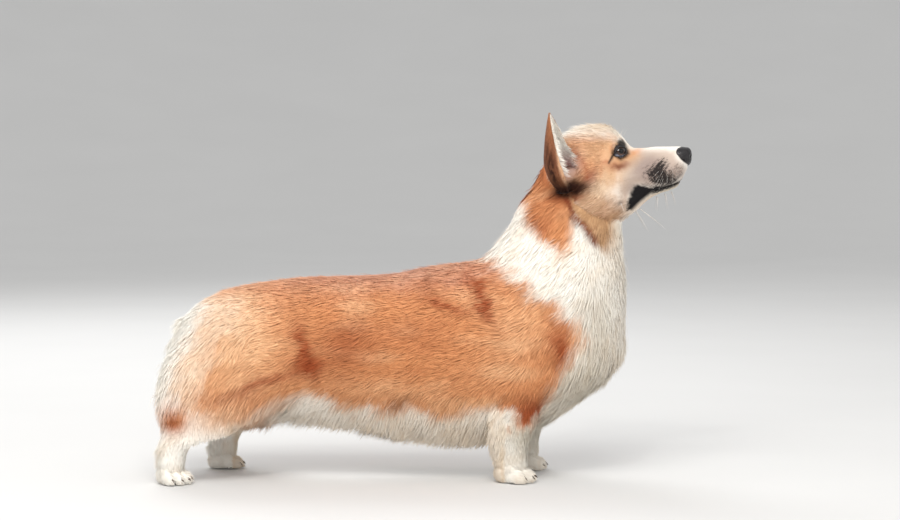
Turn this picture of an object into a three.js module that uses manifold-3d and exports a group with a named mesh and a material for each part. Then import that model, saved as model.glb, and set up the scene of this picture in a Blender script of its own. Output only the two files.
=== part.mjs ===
// A life-size Pembroke Welsh Corgi standing square, its head raised, as a still museum model.
// Millimetres. +X is the way the dog looks, +Y its left side, +Z up. The origin is on the floor
// under the middle of the model's box. Every outline is that of the coat, not of the bare skin.

import * as THREE from "three";
import { LoftGeometry } from "three/addons/geometries/LoftGeometry.js";
import { mergeVertices } from "three/addons/utils/BufferGeometryUtils.js";
import Module from "manifold-3d";

const wasm = await Module();
wasm.setup();

// Driving sizes

const MIDDLE = new THREE.Vector2(4.5, -1.8); // of the model's box, in the frame of the sizes below
const GAP = 0.3; // between parts that touch
const NECK_TILT = THREE.MathUtils.degToRad(20); // of the neck's spine, forward from upright
const NECK_CUT = 318; // where the neck parts from the chest, along the neck's spine
const ELBOW_CUT = 104; // height where a foreleg leaves the shoulder
const THIGH_CUT = 96; // height where a hind leg leaves the thigh
const WRIST_CUT = 30; // height where each paw leaves its leg
const HIND_STAGGER = 55; // how far the left hind paw stands in front of the right one
const FORE_STAGGER = 18; // the same for the fore paws
const EYE_RADIUS = 10;
const EYE_PLACE = new THREE.Vector3(255.5, 28.8, 424.8); // of the left eye's centre
const LID_RADIUS = 17.5; // of the dome that the lids make over the ball
const LID_DEPTH = 6; // of that dome's centre behind the ball's
const EAR_WALL = 2.8;
const MOUTH_GAP = 0.9; // width of the line of the mouth
const CLAW_LENGTH = 9;

const rad = THREE.MathUtils.degToRad;
const vec = (x, y, z) => new THREE.Vector3(x, y, z);
const smooth = THREE.MathUtils.smoothstep;
const mix = THREE.MathUtils.lerp;

// Tools

// A smooth function through [place, value] pairs that never overshoots them.
function through(...pairs) {
  const last = pairs.length - 1;
  const slope = (i) => (pairs[i + 1][1] - pairs[i][1]) / (pairs[i + 1][0] - pairs[i][0]);
  const tangent = pairs.map((p, i) => {
    if (i === 0) return slope(0);
    if (i === last) return slope(last - 1);
    const before = slope(i - 1);
    const after = slope(i);
    if (before * after <= 0) return 0;
    const mean = (before + after) / 2;
    return Math.sign(mean) * Math.min(Math.abs(mean), 3 * Math.abs(before), 3 * Math.abs(after));
  });
  return (x) => {
    if (x <= pairs[0][0]) return pairs[0][1];
    if (x >= pairs[last][0]) return pairs[last][1];
    let i = 0;
    while (x > pairs[i + 1][0]) i += 1;
    const width = pairs[i + 1][0] - pairs[i][0];
    const t = (x - pairs[i][0]) / width;
    const rise = 3 * t * t - 2 * t * t * t;
    const leave = t * (1 - t) * (1 - t) * width * tangent[i];
    const arrive = t * t * (t - 1) * width * tangent[i + 1];
    return mix(pairs[i][1], pairs[i + 1][1], rise) + leave + arrive;
  };
}

// Places from start to end, closer together towards both ends or only the far one, to round a blunt end.
function places(start, end, count, onlyFar) {
  return Array.from({ length: count }, (_, i) => {
    const even = i / (count - 1);
    const eased = onlyFar ? Math.sin((Math.PI / 2) * even) : (1 - Math.cos(Math.PI * even)) / 2;
    return mix(start, end, mix(even, eased, 0.55));
  });
}

function evenly(start, end, count) {
  return Array.from({ length: count }, (_, i) => mix(start, end, i / (count - 1)));
}

// A closed three.js geometry as a solid that can be joined and cut.
function solid(geometry) {
  const bare = new THREE.BufferGeometry();
  bare.setAttribute("position", geometry.getAttribute("position"));
  bare.setIndex(geometry.index);
  const merged = mergeVertices(bare, 1e-4);
  const vertProperties = new Float32Array(merged.attributes.position.array);
  const triVerts = new Uint32Array(merged.index.array);
  return new wasm.Manifold(new wasm.Mesh({ numProp: 3, vertProperties, triVerts }));
}

const join = (...solids) => solids.reduce((all, s) => all.add(s));
const cut = (body, ...tools) => tools.reduce((left, tool) => left.subtract(tool), body);

// A closed skin over rings of points, which may run either way round.
function loft(rings) {
  const middle = (ring) => ring.reduce((sum, p) => sum.add(p), vec(0, 0, 0)).divideScalar(ring.length);
  const ahead = middle(rings[1]).sub(middle(rings[0]));
  const facing = vec(0, 0, 0);
  rings[0].forEach((p, i) => facing.add(p.clone().cross(rings[0][(i + 1) % rings[0].length])));
  const ordered = facing.dot(ahead) > 0 ? rings : rings.map((ring) => [...ring].reverse());
  return solid(new LoftGeometry(ordered, { capStart: true, capEnd: true }));
}

// A bent power, which squares an oval's corners as squareness rises past 2.
const bent = (value, squareness) => Math.sign(value) * Math.abs(value) ** (2 / squareness);

// One ring of an oval: its width, its reach up and down, and how much it narrows to its top and bottom.
function ovalRing(form, s, sides, grow) {
  const o = form.section(s);
  return Array.from({ length: sides }, (_, i) => {
    const angle = ((i + (form.turn ?? 0)) / sides) * 2 * Math.PI;
    const rise = bent(Math.sin(angle), o.square ?? 2);
    const narrowing = (rise > 0 ? (o.pinch ?? 0) : -(o.under ?? 0)) * rise;
    const side = bent(Math.cos(angle), o.square ?? 2) * (1 - narrowing);
    const tall = rise > 0 ? o.high : o.low;
    const point = form.along.clone().multiplyScalar(s).add(form.base ?? vec(0, 0, 0));
    point.addScaledVector(form.across, (o.acrossAt ?? 0) + side * (o.wide + grow));
    point.addScaledVector(form.up, (o.upAt ?? 0) + rise * (tall + grow));
    return form.relief ? form.relief(point) : point;
  });
}

// A form is an oval that changes along a straight spine. This makes it solid between two places.
function formSolid(form, change = {}) {
  const { from, to, rings, sides, grow = 0 } = { ...form, ...change };
  const first = from - (from === form.from ? grow : 0);
  const last = to + (to === form.to ? grow : 0);
  const stops = places(first, last, rings, form.bluntEnd);
  const within = (s) => THREE.MathUtils.clamp(s, form.from - 1, form.to + 1);
  return loft(stops.map((s) => ovalRing(form, within(s), sides, grow)));
}

// The point of a form at a place and an angle, with the way out of its surface there.
function onForm(form, s, degrees) {
  const at = (place, angle) => {
    const sides = 360;
    return ovalRing({ ...form, turn: angle }, place, sides, 0)[0];
  };
  const point = at(s, degrees);
  const alongIt = at(s + 1, degrees).sub(at(s - 1, degrees));
  const roundIt = at(s, degrees + 1).sub(at(s, degrees - 1));
  return { point, out: roundIt.cross(alongIt).normalize() };
}

// The other side of a symmetric thing.
const mirrored = (s) => s.mirror([0, 1, 0]);

// The largest closed body of a solid, with any hollow that joining sealed filled again.
function wholeBody(s) {
  const bodies = s.decompose().filter((b) => b.volume() > 0);
  return bodies.reduce((best, b) => (b.volume() > best.volume() ? b : best));
}

const X = vec(1, 0, 0);
const Y = vec(0, 1, 0);
const Z = vec(0, 0, 1);

// Torso: ovals across the spine from rump to chest

const torso = {
  along: X, across: Y, up: Z, from: -326, to: 262, rings: 28, sides: 20,
  top: through([-326, 178], [-316, 194], [-300, 216], [-280, 234], [-240, 250], [-201, 257], [-150, 263],
    [-60, 266], [-19, 270], [25, 280], [60, 284], [90, 286], [130, 279], [180, 250], [225, 210],
    [262, 172]),
  bottom: through([-326, 160], [-316, 128], [-300, 108], [-270, 90], [-230, 82], [-180, 86], [-120, 81],
    [-60, 70], [0, 60], [60, 55], [110, 58], [150, 66], [190, 88], [225, 112], [262, 150]),
  width: through([-326, 12], [-316, 36], [-300, 51], [-270, 64], [-230, 70], [-170, 71], [-110, 72],
    [-50, 75], [10, 79], [70, 81], [120, 79], [170, 70], [210, 56], [240, 40], [262, 16]),
  section(x) {
    const level = mix(this.bottom(x), this.top(x), 0.5);
    return {
      upAt: level, high: this.top(x) - level, low: level - this.bottom(x),
      wide: this.width(x), square: 2.25, pinch: 0.1,
    };
  },
};

// Chest and neck: ovals across a spine that leans forward

const neckAlong = vec(Math.sin(NECK_TILT), 0, Math.cos(NECK_TILT));
const neckFront = vec(Math.cos(NECK_TILT), 0, -Math.sin(NECK_TILT));
const neck = {
  along: neckAlong, across: neckFront, up: Y, from: 118, to: 462, rings: 16, sides: 20,
  throat: through([118, 124], [126, 138], [140, 149], [160, 161], [181, 174], [208, 191], [230, 196],
    [250, 195], [285, 182], [321, 169], [351, 156], [368, 147.5], [388, 144], [405, 141], [425, 128],
    [462, 90]),
  nape: through([118, 100], [130, 78], [150, 60], [200, 30], [240, 5], [270, -38], [302, -19.5], [322, -13],
    [339, -7.5], [354, -3.5], [383, 0], [412, 3.2], [440, 3], [452, 8], [462, 22]),
  width: through([118, 14], [126, 25], [140, 36], [160, 48], [181, 58], [210, 68], [240, 73], [270, 75],
    [300, 73], [322, 68], [350, 61], [375, 57], [400, 56], [425, 54], [445, 46], [462, 24]),
  section(s) {
    const middle = (this.throat(s) + this.nape(s)) / 2;
    const reach = (this.throat(s) - this.nape(s)) / 2;
    return { acrossAt: middle, wide: reach, high: this.width(s), low: this.width(s), square: 2.15 };
  },
};

// Legs: level ovals stacked from the floor up. side is 1 on the dog's left and -1 on its right.

function legForm({ side, from, to, rings, sides, back, front, middle, thick, shift = () => 0 }) {
  return {
    along: Z, across: X, up: Y, from, to, rings, sides,
    section(z) {
      const moved = side > 0 ? shift(z) : 0;
      const centre = (back(z) + front(z)) / 2 + moved;
      return {
        acrossAt: centre, wide: (front(z) - back(z)) / 2,
        upAt: side * middle(z), high: thick(z), low: thick(z), square: 2.2,
      };
    },
  };
}

const shoulder = (side) => legForm({
  side, from: ELBOW_CUT + GAP, to: 268, rings: 12, sides: 18,
  back: through([104, 90], [118, 80], [140, 68], [175, 56], [210, 48], [240, 46], [268, 58]),
  front: through([104, 156], [112, 172], [130, 194], [150, 209], [175, 216], [200, 200], [230, 168],
    [268, 112]),
  middle: through([104, 50], [150, 47], [200, 43], [268, 22]),
  thick: through([104, 29], [112, 35], [140, 40.5], [175, 43], [210, 42], [240, 34], [268, 16]),
  shift: (z) => FORE_STAGGER * (1 - smooth(z, 104, 175)),
});

const foreleg = (side) => legForm({
  side, from: WRIST_CUT + GAP, to: ELBOW_CUT, rings: 7, sides: 14,
  back: through([30, 96], [42, 93], [60, 91], [80, 89], [104, 92]),
  front: through([30, 139], [42, 140], [60, 145], [80, 153], [104, 164]),
  middle: through([30, 57], [60, 54], [104, 50]),
  thick: through([30, 20], [42, 20.5], [60, 22], [80, 24.5], [104, 28]),
  shift: () => FORE_STAGGER,
});

const hindShift = (z) => HIND_STAGGER * (1 - smooth(z, 50, 118));

const thigh = (side) => legForm({
  side, from: THIGH_CUT + GAP, to: 246, rings: 12, sides: 20,
  back: through([96, -331], [112, -334], [135, -331], [165, -321], [200, -301], [225, -281], [246, -256]),
  front: through([96, -196], [112, -168], [130, -160], [160, -164], [200, -184], [225, -204], [246, -236]),
  middle: through([96, 55], [130, 51], [170, 46], [210, 40], [246, 24]),
  thick: through([96, 29], [115, 34], [140, 38], [175, 39], [210, 32], [230, 21], [246, 6]),
  shift: hindShift,
});

const hindleg = (side) => legForm({
  side, from: WRIST_CUT + GAP, to: THIGH_CUT, rings: 10, sides: 16,
  back: through([30, -336], [45, -334], [60, -329], [72, -328], [84, -330], [96, -334]),
  front: through([30, -299], [44, -294], [53, -284], [59, -264], [65, -240], [74, -228], [84, -216],
    [96, -199]),
  middle: through([30, 70], [50, 67], [70, 61], [96, 55]),
  thick: through([30, 17.5], [45, 18], [60, 20], [75, 23.5], [96, 28.5]),
  shift: hindShift,
});

// Paws: four toes and a heel on flat pads, each toe with its claw

function toe(x, y, length, spread) {
  const shape = new THREE.SphereGeometry(1, 8, 5);
  shape.rotateX(Math.PI / 2);
  shape.scale(length, 6.9, 11);
  shape.rotateY(rad(16));
  shape.rotateZ(spread);
  shape.translate(x, y, 9.5);
  return solid(shape);
}

function claw(x, y, spread) {
  const rings = evenly(0, 1, 3).map((t) => {
    const bend = t * rad(52);
    const centre = vec(Math.sin(bend) * CLAW_LENGTH, 0, (Math.cos(bend) - 1) * CLAW_LENGTH * 0.9);
    const radius = mix(2.4, 0.5, t);
    return Array.from({ length: 4 }, (_, i) => {
      const angle = (i / 4) * 2 * Math.PI;
      return vec(0, Math.cos(angle) * radius * 0.8, Math.sin(angle) * radius * 1.1).add(centre);
    });
  });
  return loft(rings.map((ring) => ring.map((p) => p.applyAxisAngle(Z, spread).add(vec(x, y, 9.5)))));
}

// A paw stands at a place, turned out by some degrees, and takes its top from the leg above it.
function paw({ x, y, turn, size, leg }) {
  const toes = [-15.5, -5.5, 5.5, 15.5].map((offset, i) => {
    const outer = i === 0 || i === 3;
    const spread = rad(offset * 0.9);
    const reach = outer ? 5 : 11;
    const length = outer ? 15 : 16;
    const tip = vec(length - 4, 0, 0).applyAxisAngle(Z, spread).add(vec(reach, offset, 0));
    return join(toe(reach, offset, length, spread), claw(tip.x, tip.y, spread));
  });
  const heel = new THREE.SphereGeometry(1, 12, 6);
  heel.rotateX(Math.PI / 2);
  heel.scale(21, 19, 18);
  heel.translate(-7, 0, 11);
  const placed = join(...toes, solid(heel)).scale(size).rotate([0, 0, turn]).translate([x, y, 0]);
  const top = ovalRing(leg, leg.from, 12, 0).map((p) => p.setZ(WRIST_CUT));
  const inside = top.map((p) => vec(mix(p.x, x, 0.35), mix(p.y, y, 0.35), 12));
  const slab = new THREE.BoxGeometry(200, 200, WRIST_CUT);
  slab.translate(x, y, WRIST_CUT / 2);
  return join(placed, loft([inside, top])).intersect(solid(slab));
}

// Head: one form from the back of the skull to the nose

const head = {
  along: X, across: Y, up: Z, from: 162, to: 347, rings: 26, sides: 24, bluntEnd: true,
  top: through([162, 408], [176, 434], [191, 447], [208, 455], [232, 458.5], [248, 455], [257, 449],
    [265, 441], [272, 433], [279, 429], [290, 428.5], [310, 430], [335, 430], [342, 428], [347, 422]),
  bottom: through([162, 386], [176, 366], [196, 346], [216, 333], [240, 328], [262, 333], [281, 344],
    [290, 353], [299, 360.5], [312, 367], [325, 371.5], [334, 377], [340, 388], [347, 400]),
  level: through([162, 397], [190, 392], [225, 388], [260, 389], [290, 393], [325, 400], [347, 412]),
  width: through([162, 14], [172, 31], [186, 43], [200, 51.5], [214, 57], [228, 57.5], [243, 53.5], [257, 48],
    [270, 41], [284, 34.5], [300, 29], [318, 25.5], [332, 22], [341, 16.5], [347, 9]),
  narrow: through([162, 0.1], [225, 0.18], [255, 0.24], [285, 0.27], [347, 0.16]),
  under: through([162, 0], [230, 0.05], [262, 0.28], [285, 0.3], [310, 0.22], [347, 0.2]),
  section(x) {
    const level = this.level(x);
    return {
      upAt: level, high: this.top(x) - level, low: level - this.bottom(x), wide: this.width(x),
      square: mix(2.25, 2.5, smooth(x, 255, 300)), pinch: this.narrow(x), under: this.under(x),
    };
  },
  relief: faceRelief,
};

// The line of the mouth, from its corner forward, as the height at each place.
const mouthLine = through([262, 341], [268, 345], [276, 351.5], [286, 361], [298, 370.5], [312, 376.5],
  [326, 380.5], [338, 385], [350, 391]);

// Rounded rises and hollows of the face: place, how far each spreads, and its height.
const FACE_FORMS = [
  { at: vec(259, 25, 441), spread: 10, height: 2.6 }, // brow
  { at: vec(259, 38, 423), spread: 11, height: -2.4 }, // eye socket
  { at: vec(272, 0, 434), spread: 7, height: -1.6 }, // stop
  { at: vec(252, 0, 455), spread: 8, height: -1.2 }, // furrow of the forehead
  { at: vec(222, 54, 374), spread: 24, height: 2.5 }, // cheek
  { at: vec(322, 24, 395), spread: 13, height: 2.2 }, // whisker pad
  { at: vec(288, 26, 408), spread: 12, height: -1.6 }, // under the eye
  { at: vec(186, 40, 440), spread: 15, height: 3 }, // root of the ear
];

function faceRelief(point) {
  const out = vec(0, point.y, point.z - head.level(point.x)).normalize();
  let rise = 0;
  for (const form of FACE_FORMS) {
    const away = vec(form.at.x, Math.sign(point.y || 1) * form.at.y, form.at.z).distanceTo(point);
    rise += form.height * Math.exp(-((away / form.spread) ** 2));
  }
  const moved = point.clone().addScaledVector(out, rise);
  // The lower jaw lies a little inside the lips.
  const belowLips = smooth(mouthLine(point.x) - point.z, -1, 2) * smooth(point.x, 262, 285);
  moved.y *= 1 - 0.09 * belowLips;
  return moved;
}

// A thin plate along the mouth, which parts the lower jaw from the head.
function mouthPlate() {
  const line = evenly(266, 352, 16).map((x) => vec(x, 0, mouthLine(x)));
  const throatEnd = vec(278, 0, 325);
  const path = [throatEnd, vec(270, 0, 338), ...line];
  const ends = path.map((p, i) => {
    const before = path[Math.max(i - 1, 0)];
    const after = path[Math.min(i + 1, path.length - 1)];
    const across = vec(before.z - after.z, 0, after.x - before.x).normalize().multiplyScalar(MOUTH_GAP / 2);
    return [p.clone().sub(across), p.clone().add(across)];
  });
  const sheet = ends.map(([low, high]) => [
    vec(low.x, -60, low.z), vec(low.x, 60, low.z), vec(high.x, 60, high.z), vec(high.x, -60, high.z),
  ]);
  return loft(sheet);
}

// Nose leather, with a comma-shaped nostril on each side

function noseForm(grow = 0) {
  const ovals = [[328, 6, 424, 3.4], [333, 11.5, 421.5, 7.8], [340, 14.6, 418, 11.4],
    [347, 13.2, 416.5, 11.6], [350.5, 9.5, 416.5, 9.2], [352, 5, 417, 5]];
  const rings = ovals.map(([x, wide, z, tall], n, all) => {
    const end = n === 0 ? -grow : n === all.length - 1 ? grow : 0;
    return Array.from({ length: 16 }, (_, i) => {
      const angle = (i / 16) * 2 * Math.PI;
      const rise = bent(Math.sin(angle), 2.3);
      const taper = 1 + 0.22 * rise;
      return vec(x + end, bent(Math.cos(angle), 2.3) * (wide + grow) * taper, z + rise * (tall + grow));
    });
  });
  return loft(rings);
}

function nostril() {
  const path = new THREE.CatmullRomCurve3([
    vec(354, 5.2, 417), vec(348, 7.2, 416.6), vec(344.5, 12.5, 414.5), vec(341, 19, 413),
  ]);
  const rings = evenly(0, 1, 5).map((t) => {
    const centre = path.getPoint(t);
    const ahead = path.getTangent(t);
    const side = vec(0, 0, 1).cross(ahead).normalize();
    const up = ahead.clone().cross(side);
    const radius = mix(3.1, 1.5, t);
    return Array.from({ length: 6 }, (_, i) => {
      const angle = (i / 6) * 2 * Math.PI;
      return centre.clone().addScaledVector(side, Math.cos(angle) * radius)
        .addScaledVector(up, Math.sin(angle) * radius * 0.85);
    });
  });
  return loft(rings);
}

// Eyes: a ball in a socket, with lids that follow it and a slanting opening between them

const eyeAhead = vec(0.5, 0.83, 0.2).normalize(); // the way the left eye looks

function ball(radius, across, down, depth = 0) {
  const shape = new THREE.SphereGeometry(radius, across, down);
  const centre = EYE_PLACE.clone().addScaledVector(eyeAhead, -depth);
  shape.translate(centre.x, centre.y, centre.z);
  return solid(shape);
}

const eyeSlant = rad(24); // its outer corner lies lower, as the head is raised

function lidOpening() {
  const side = vec(0, 0, 1).cross(eyeAhead).normalize(); // towards the inner corner
  const up = eyeAhead.clone().cross(side).normalize();
  const inner = side.clone().multiplyScalar(-1);
  const outline = Array.from({ length: 14 }, (_, i) => {
    const angle = (i / 14) * 2 * Math.PI;
    const along = Math.cos(angle) * 9.4;
    const rise = Math.sin(angle) * (Math.sin(angle) > 0 ? 6.6 : 5.6) * (1 - 0.25 * Math.abs(Math.cos(angle)));
    const slanted = new THREE.Vector2(along, rise).rotateAround(new THREE.Vector2(0, 0), eyeSlant);
    return slanted.toArray();
  });
  const ring = (depth, scale) => outline.map(([a, b]) => EYE_PLACE.clone()
    .addScaledVector(eyeAhead, depth).addScaledVector(inner, a * scale).addScaledVector(up, b * scale));
  return loft([ring(3, 0.9), ring(20, 1.15)]);
}

// Ears: a cup whose section is a crescent, from a wide root to a rounded tip

const EAR_ROOT = vec(193.2, 44, 366);
const EAR_TIP = vec(168.5, 62, 472);
const earUp = EAR_TIP.clone().sub(EAR_ROOT).normalize();
const earLength = EAR_TIP.distanceTo(EAR_ROOT);
const earOpen = vec(Math.cos(rad(34)), Math.sin(rad(34)), 0).projectOnPlane(earUp).normalize();
const earSide = earUp.clone().cross(earOpen).normalize(); // towards the outer edge on the left ear
const earWide = through([0, 9], [0.13, 17], [0.28, 23.5], [0.39, 23.5], [0.62, 17.5], [0.85, 10],
  [0.95, 5.5], [1, 2.4]);
const earDeep = through([0, 9], [0.13, 16], [0.28, 22], [0.39, 22.5], [0.62, 16.5], [0.85, 8],
  [0.95, 3.8], [1, 1.6]);
const earBow = through([0, 0], [0.5, 3.5], [1, 0]); // how far the middle leans back
const earIn = through([0, 13], [0.3, 0], [1, 0]); // how far the foot turns in to the head

function earRing(t, side, wall) {
  const centre = EAR_ROOT.clone().addScaledVector(earUp, t * earLength);
  centre.addScaledVector(earOpen, -earBow(t)).addScaledVector(Y, -earIn(t));
  const place = (turn, shrink) => {
    const wide = Math.max(earWide(t) - shrink, 0.6);
    const deep = Math.max(earDeep(t) - shrink, 0.3);
    return centre.clone().addScaledVector(earSide, Math.sin(turn) * wide)
      .addScaledVector(earOpen, -Math.cos(turn) * deep + earDeep(t) * 0.25);
  };
  const half = mix(rad(104), rad(96), t);
  const outside = evenly(-half, half, 10).map((turn) => place(turn, 0));
  const inside = evenly(half, -half, 8).map((turn) => place(turn * 0.96, wall));
  const ring = [...outside, ...inside].map((p) => vec(p.x, side * p.y, p.z));
  return side > 0 ? ring : ring.reverse();
}

function ear(side) {
  const wall = (t) => mix(EAR_WALL, 1.3, t);
  return loft([0, 0.13, 0.26, 0.4, 0.55, 0.7, 0.83, 0.93, 1].map((t) => earRing(t, side, wall(t))));
}

// The hollow at the foot of the left ear, sunk in the side of the head
function earBowl() {
  const shape = new THREE.SphereGeometry(1, 12, 8);
  shape.scale(17, 11, 25);
  shape.rotateY(rad(-25));
  shape.translate(199, 54, 400);
  return solid(shape);
}

// Tail: the breed's short stump

const TAIL_ROOT = vec(-292, 0, 214);
const tailBack = vec(-Math.cos(rad(38)), 0, -Math.sin(rad(38)));
const tailStump = {
  along: tailBack, across: Y, up: vec(Math.sin(rad(38)), 0, -Math.cos(rad(38))).negate(), base: TAIL_ROOT,
  from: 0, to: 44, rings: 7, sides: 12,
  size: through([0, 13], [28, 12.5], [38, 9], [44, 3]),
  section(s) {
    return { wide: this.size(s), high: this.size(s) * 0.85, low: this.size(s) * 0.85 };
  },
};

// Coat: flat, tapered locks that bend along its lie

let seed = 7;
// An even random number from 0 to 1, the same on each run.
function chance() {
  seed = (seed * 1664525 + 1013904223) % 4294967296;
  return seed / 4294967296;
}
const about = (value, spread) => value * (1 + spread * (2 * chance() - 1));

// A lock has a flat underside and a low ridge. It runs along its form from a sunk root and bends back down.
function lock(form, s, degree, { run, turn, width, lift, droop, thick }) {
  const stations = [[-0.1, 0.7, 0], [0.22, 1, 0.4], [0.6, 0.8, 0.85], [1, 0.06, 1]];
  const path = stations.map(([t, full, raise], n) => {
    const { point, out } = onForm(form, s + run * t, degree + turn * t);
    point.addScaledVector(out, n === 0 ? -5 : raise * lift);
    point.z -= droop * t * t;
    return { point, out, full };
  });
  return loft(path.map(({ point, out, full }, n) => {
    const ahead = path[Math.min(n + 1, 3)].point.clone().sub(path[Math.max(n - 1, 0)].point);
    const side = out.clone().cross(ahead).normalize();
    return [
      point.clone().addScaledVector(side, (width / 2) * full),
      point.clone().addScaledVector(out, thick * full),
      point.clone().addScaledVector(side, (-width / 2) * full),
    ];
  }));
}

// Locks in rows over part of a form. Degrees go round it, and each row is set part of a step from the last.
function rowsOfLocks(form, { stops, degrees, columns, run, width, lift, droop = 0, thick = 4 }) {
  const [first, last] = degrees;
  const step = (last - first) / (columns - 1);
  return stops.flatMap((s, row) => Array.from({ length: columns }, (_, column) => {
    const degree = first + step * (column + (row % 2 ? 0.35 : 0) + (chance() - 0.5) * 0.3);
    return lock(form, s + (chance() - 0.5) * 4, degree, {
      run: about(run, 0.15), turn: (chance() - 0.5) * 12, width: about(width, 0.12),
      lift: about(lift, 0.25), droop, thick,
    });
  }));
}

const grown = (form) => formSolid(form, { grow: GAP });
const grownFrom = (form, from) => formSolid(form, { from, grow: GAP, rings: 9 });

// All that is lower than a height
function slabBelow(height) {
  const shape = new THREE.BoxGeometry(1000, 400, 200);
  shape.translate(0, 0, height - 100);
  return solid(shape);
}

// Long hair behind each thigh
function breeches(thighForm, side) {
  return rowsOfLocks(thighForm, {
    stops: evenly(122, 214, 5), degrees: [180 + side * 28, 180 - side * 42], columns: 3,
    run: -46, width: 16, lift: 11, droop: 2,
  });
}

const hockFeather = (legForm) => rowsOfLocks(legForm, {
  stops: [84], degrees: [160, 200], columns: 2, run: -24, width: 14, lift: 5,
});

const elbowFeather = (legForm) => rowsOfLocks(legForm, {
  stops: [80, 94], degrees: [165, 200], columns: 2, run: -26, width: 13, lift: 6,
});

const bellyFringe = () => rowsOfLocks(torso, {
  stops: evenly(-130, 80, 8), degrees: [238, 302], columns: 3, run: -46, width: 23, lift: 8, droop: 6,
});

const bib = () => rowsOfLocks(neck, {
  stops: evenly(182, 308, 4), degrees: [-62, 62], columns: 5, run: -60, width: 26, lift: 6,
});

const brisket = () => rowsOfLocks(neck, {
  stops: [134, 154], degrees: [-60, 60], columns: 3, run: -42, width: 20, lift: 6, droop: 4,
});

// Put the parts together

const chest = { to: NECK_CUT, rings: 13 };
const trunk = (grow) => join(formSolid(torso, { grow }), formSolid(neck, { ...chest, grow }));
const trunkAround = trunk(GAP);
const tailAround = grown(tailStump);

const parts = {};
const finished = (name, body, colour, roughness = 0.9) => {
  parts[name] = { body: wholeBody(body).translate(-MIDDLE.x, -MIDDLE.y, 0), colour, roughness };
};

const RED = 0xc88a55;
const CREAM = 0xf1e8d8;
const BLACK = 0x1d1b1e;

// Locks stay clear of the parts beside their own.
const clear = (locks, ...around) => cut(join(...locks), ...around);

const limbs = [];
for (const [name, side] of [["left", 1], ["right", -1]]) {
  const ahead = side > 0 ? 1 : 0;
  const [arm, fore, ham, hind] = [shoulder(side), foreleg(side), thigh(side), hindleg(side)];
  const forePlace = { x: 121 + ahead * FORE_STAGGER, y: side * 58, turn: side * 14 };
  const hindPlace = { x: -316 + ahead * HIND_STAGGER, y: side * 72, turn: side * (side > 0 ? 16 : 38) };
  const forepaw = paw({ ...forePlace, size: 1, leg: fore });
  const hindpaw = paw({ ...hindPlace, size: 0.9, leg: hind });
  const hamLocks = clear(breeches(ham, side), trunkAround, grown(hind), tailAround);
  const hockLocks = clear(hockFeather(hind), grown(ham), slabBelow(WRIST_CUT + GAP));
  const elbowLocks = clear(elbowFeather(fore), trunkAround, grown(arm), slabBelow(WRIST_CUT + GAP));
  finished(`shoulder_${name}`, cut(formSolid(arm), trunkAround), RED);
  finished(`foreleg_${name}`, join(cut(formSolid(fore), trunkAround), elbowLocks), CREAM);
  finished(`forepaw_${name}`, forepaw, CREAM);
  finished(`thigh_${name}`, join(cut(formSolid(ham), trunkAround, tailAround), hamLocks), RED);
  finished(`hindleg_${name}`, join(cut(formSolid(hind), trunkAround), hockLocks), RED);
  finished(`hindpaw_${name}`, hindpaw, CREAM);
  limbs.push(grown(arm), grown(fore), grown(ham), grown(hind));
}

const headAround = grown(head);
const socket = join(ball(EYE_RADIUS + GAP, 12, 8), lidOpening());
const lids = ball(LID_RADIUS, 16, 10, LID_DEPTH);
const noseAround = noseForm(GAP);
const plainHead = join(formSolid(head), lids, mirrored(lids));
const hollows = [socket, mirrored(socket), earBowl(), mirrored(earBowl())];
const splitHead = cut(plainHead, ...hollows, noseAround, mouthPlate());
const [skull, jaw] = splitHead.decompose().sort((a, b) => b.volume() - a.volume());
const ears = [ear(1), ear(-1)];
const earSeat = cut(headAround, earBowl(), mirrored(earBowl()));
finished("head", skull, RED);
finished("lower_jaw", jaw, CREAM);
finished("nose", cut(noseForm(), nostril(), mirrored(nostril())), BLACK, 0.5);
finished("eye_left", ball(EYE_RADIUS, 12, 8), BLACK, 0.2);
finished("eye_right", mirrored(ball(EYE_RADIUS, 12, 8)), BLACK, 0.2);
finished("ear_left", cut(ears[0], earSeat), RED);
finished("ear_right", cut(ears[1], earSeat), RED);
const neckCore = formSolid(neck, { from: NECK_CUT + GAP, rings: 9 });
finished("neck", cut(neckCore, headAround, ...ears), CREAM);
const trunkLocks = clear([...bellyFringe(), ...bib(), ...brisket()], ...limbs, grownFrom(neck, NECK_CUT));
finished("torso", join(trunk(0), trunkLocks), RED);
finished("tail", cut(formSolid(tailStump), trunkAround), RED);

const corgi = new THREE.Group();
for (const [name, { body, colour, roughness }] of Object.entries(parts)) {
  const { vertProperties, triVerts } = body.getMesh();
  const geometry = new THREE.BufferGeometry();
  geometry.setAttribute("position", new THREE.BufferAttribute(vertProperties, 3));
  geometry.setIndex(new THREE.BufferAttribute(triVerts, 1));
  geometry.computeVertexNormals();
  const material = new THREE.MeshStandardMaterial({ color: colour, roughness, metalness: 0 });
  const mesh = new THREE.Mesh(geometry, material);
  mesh.name = name;
  corgi.add(mesh);
}

export default corgi;
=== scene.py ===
# The looks of a life-size Pembroke Welsh Corgi, standing square with its head raised.
# Shapes are worked out in millimetres in the outlines' own frame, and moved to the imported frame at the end.

import math

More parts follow.
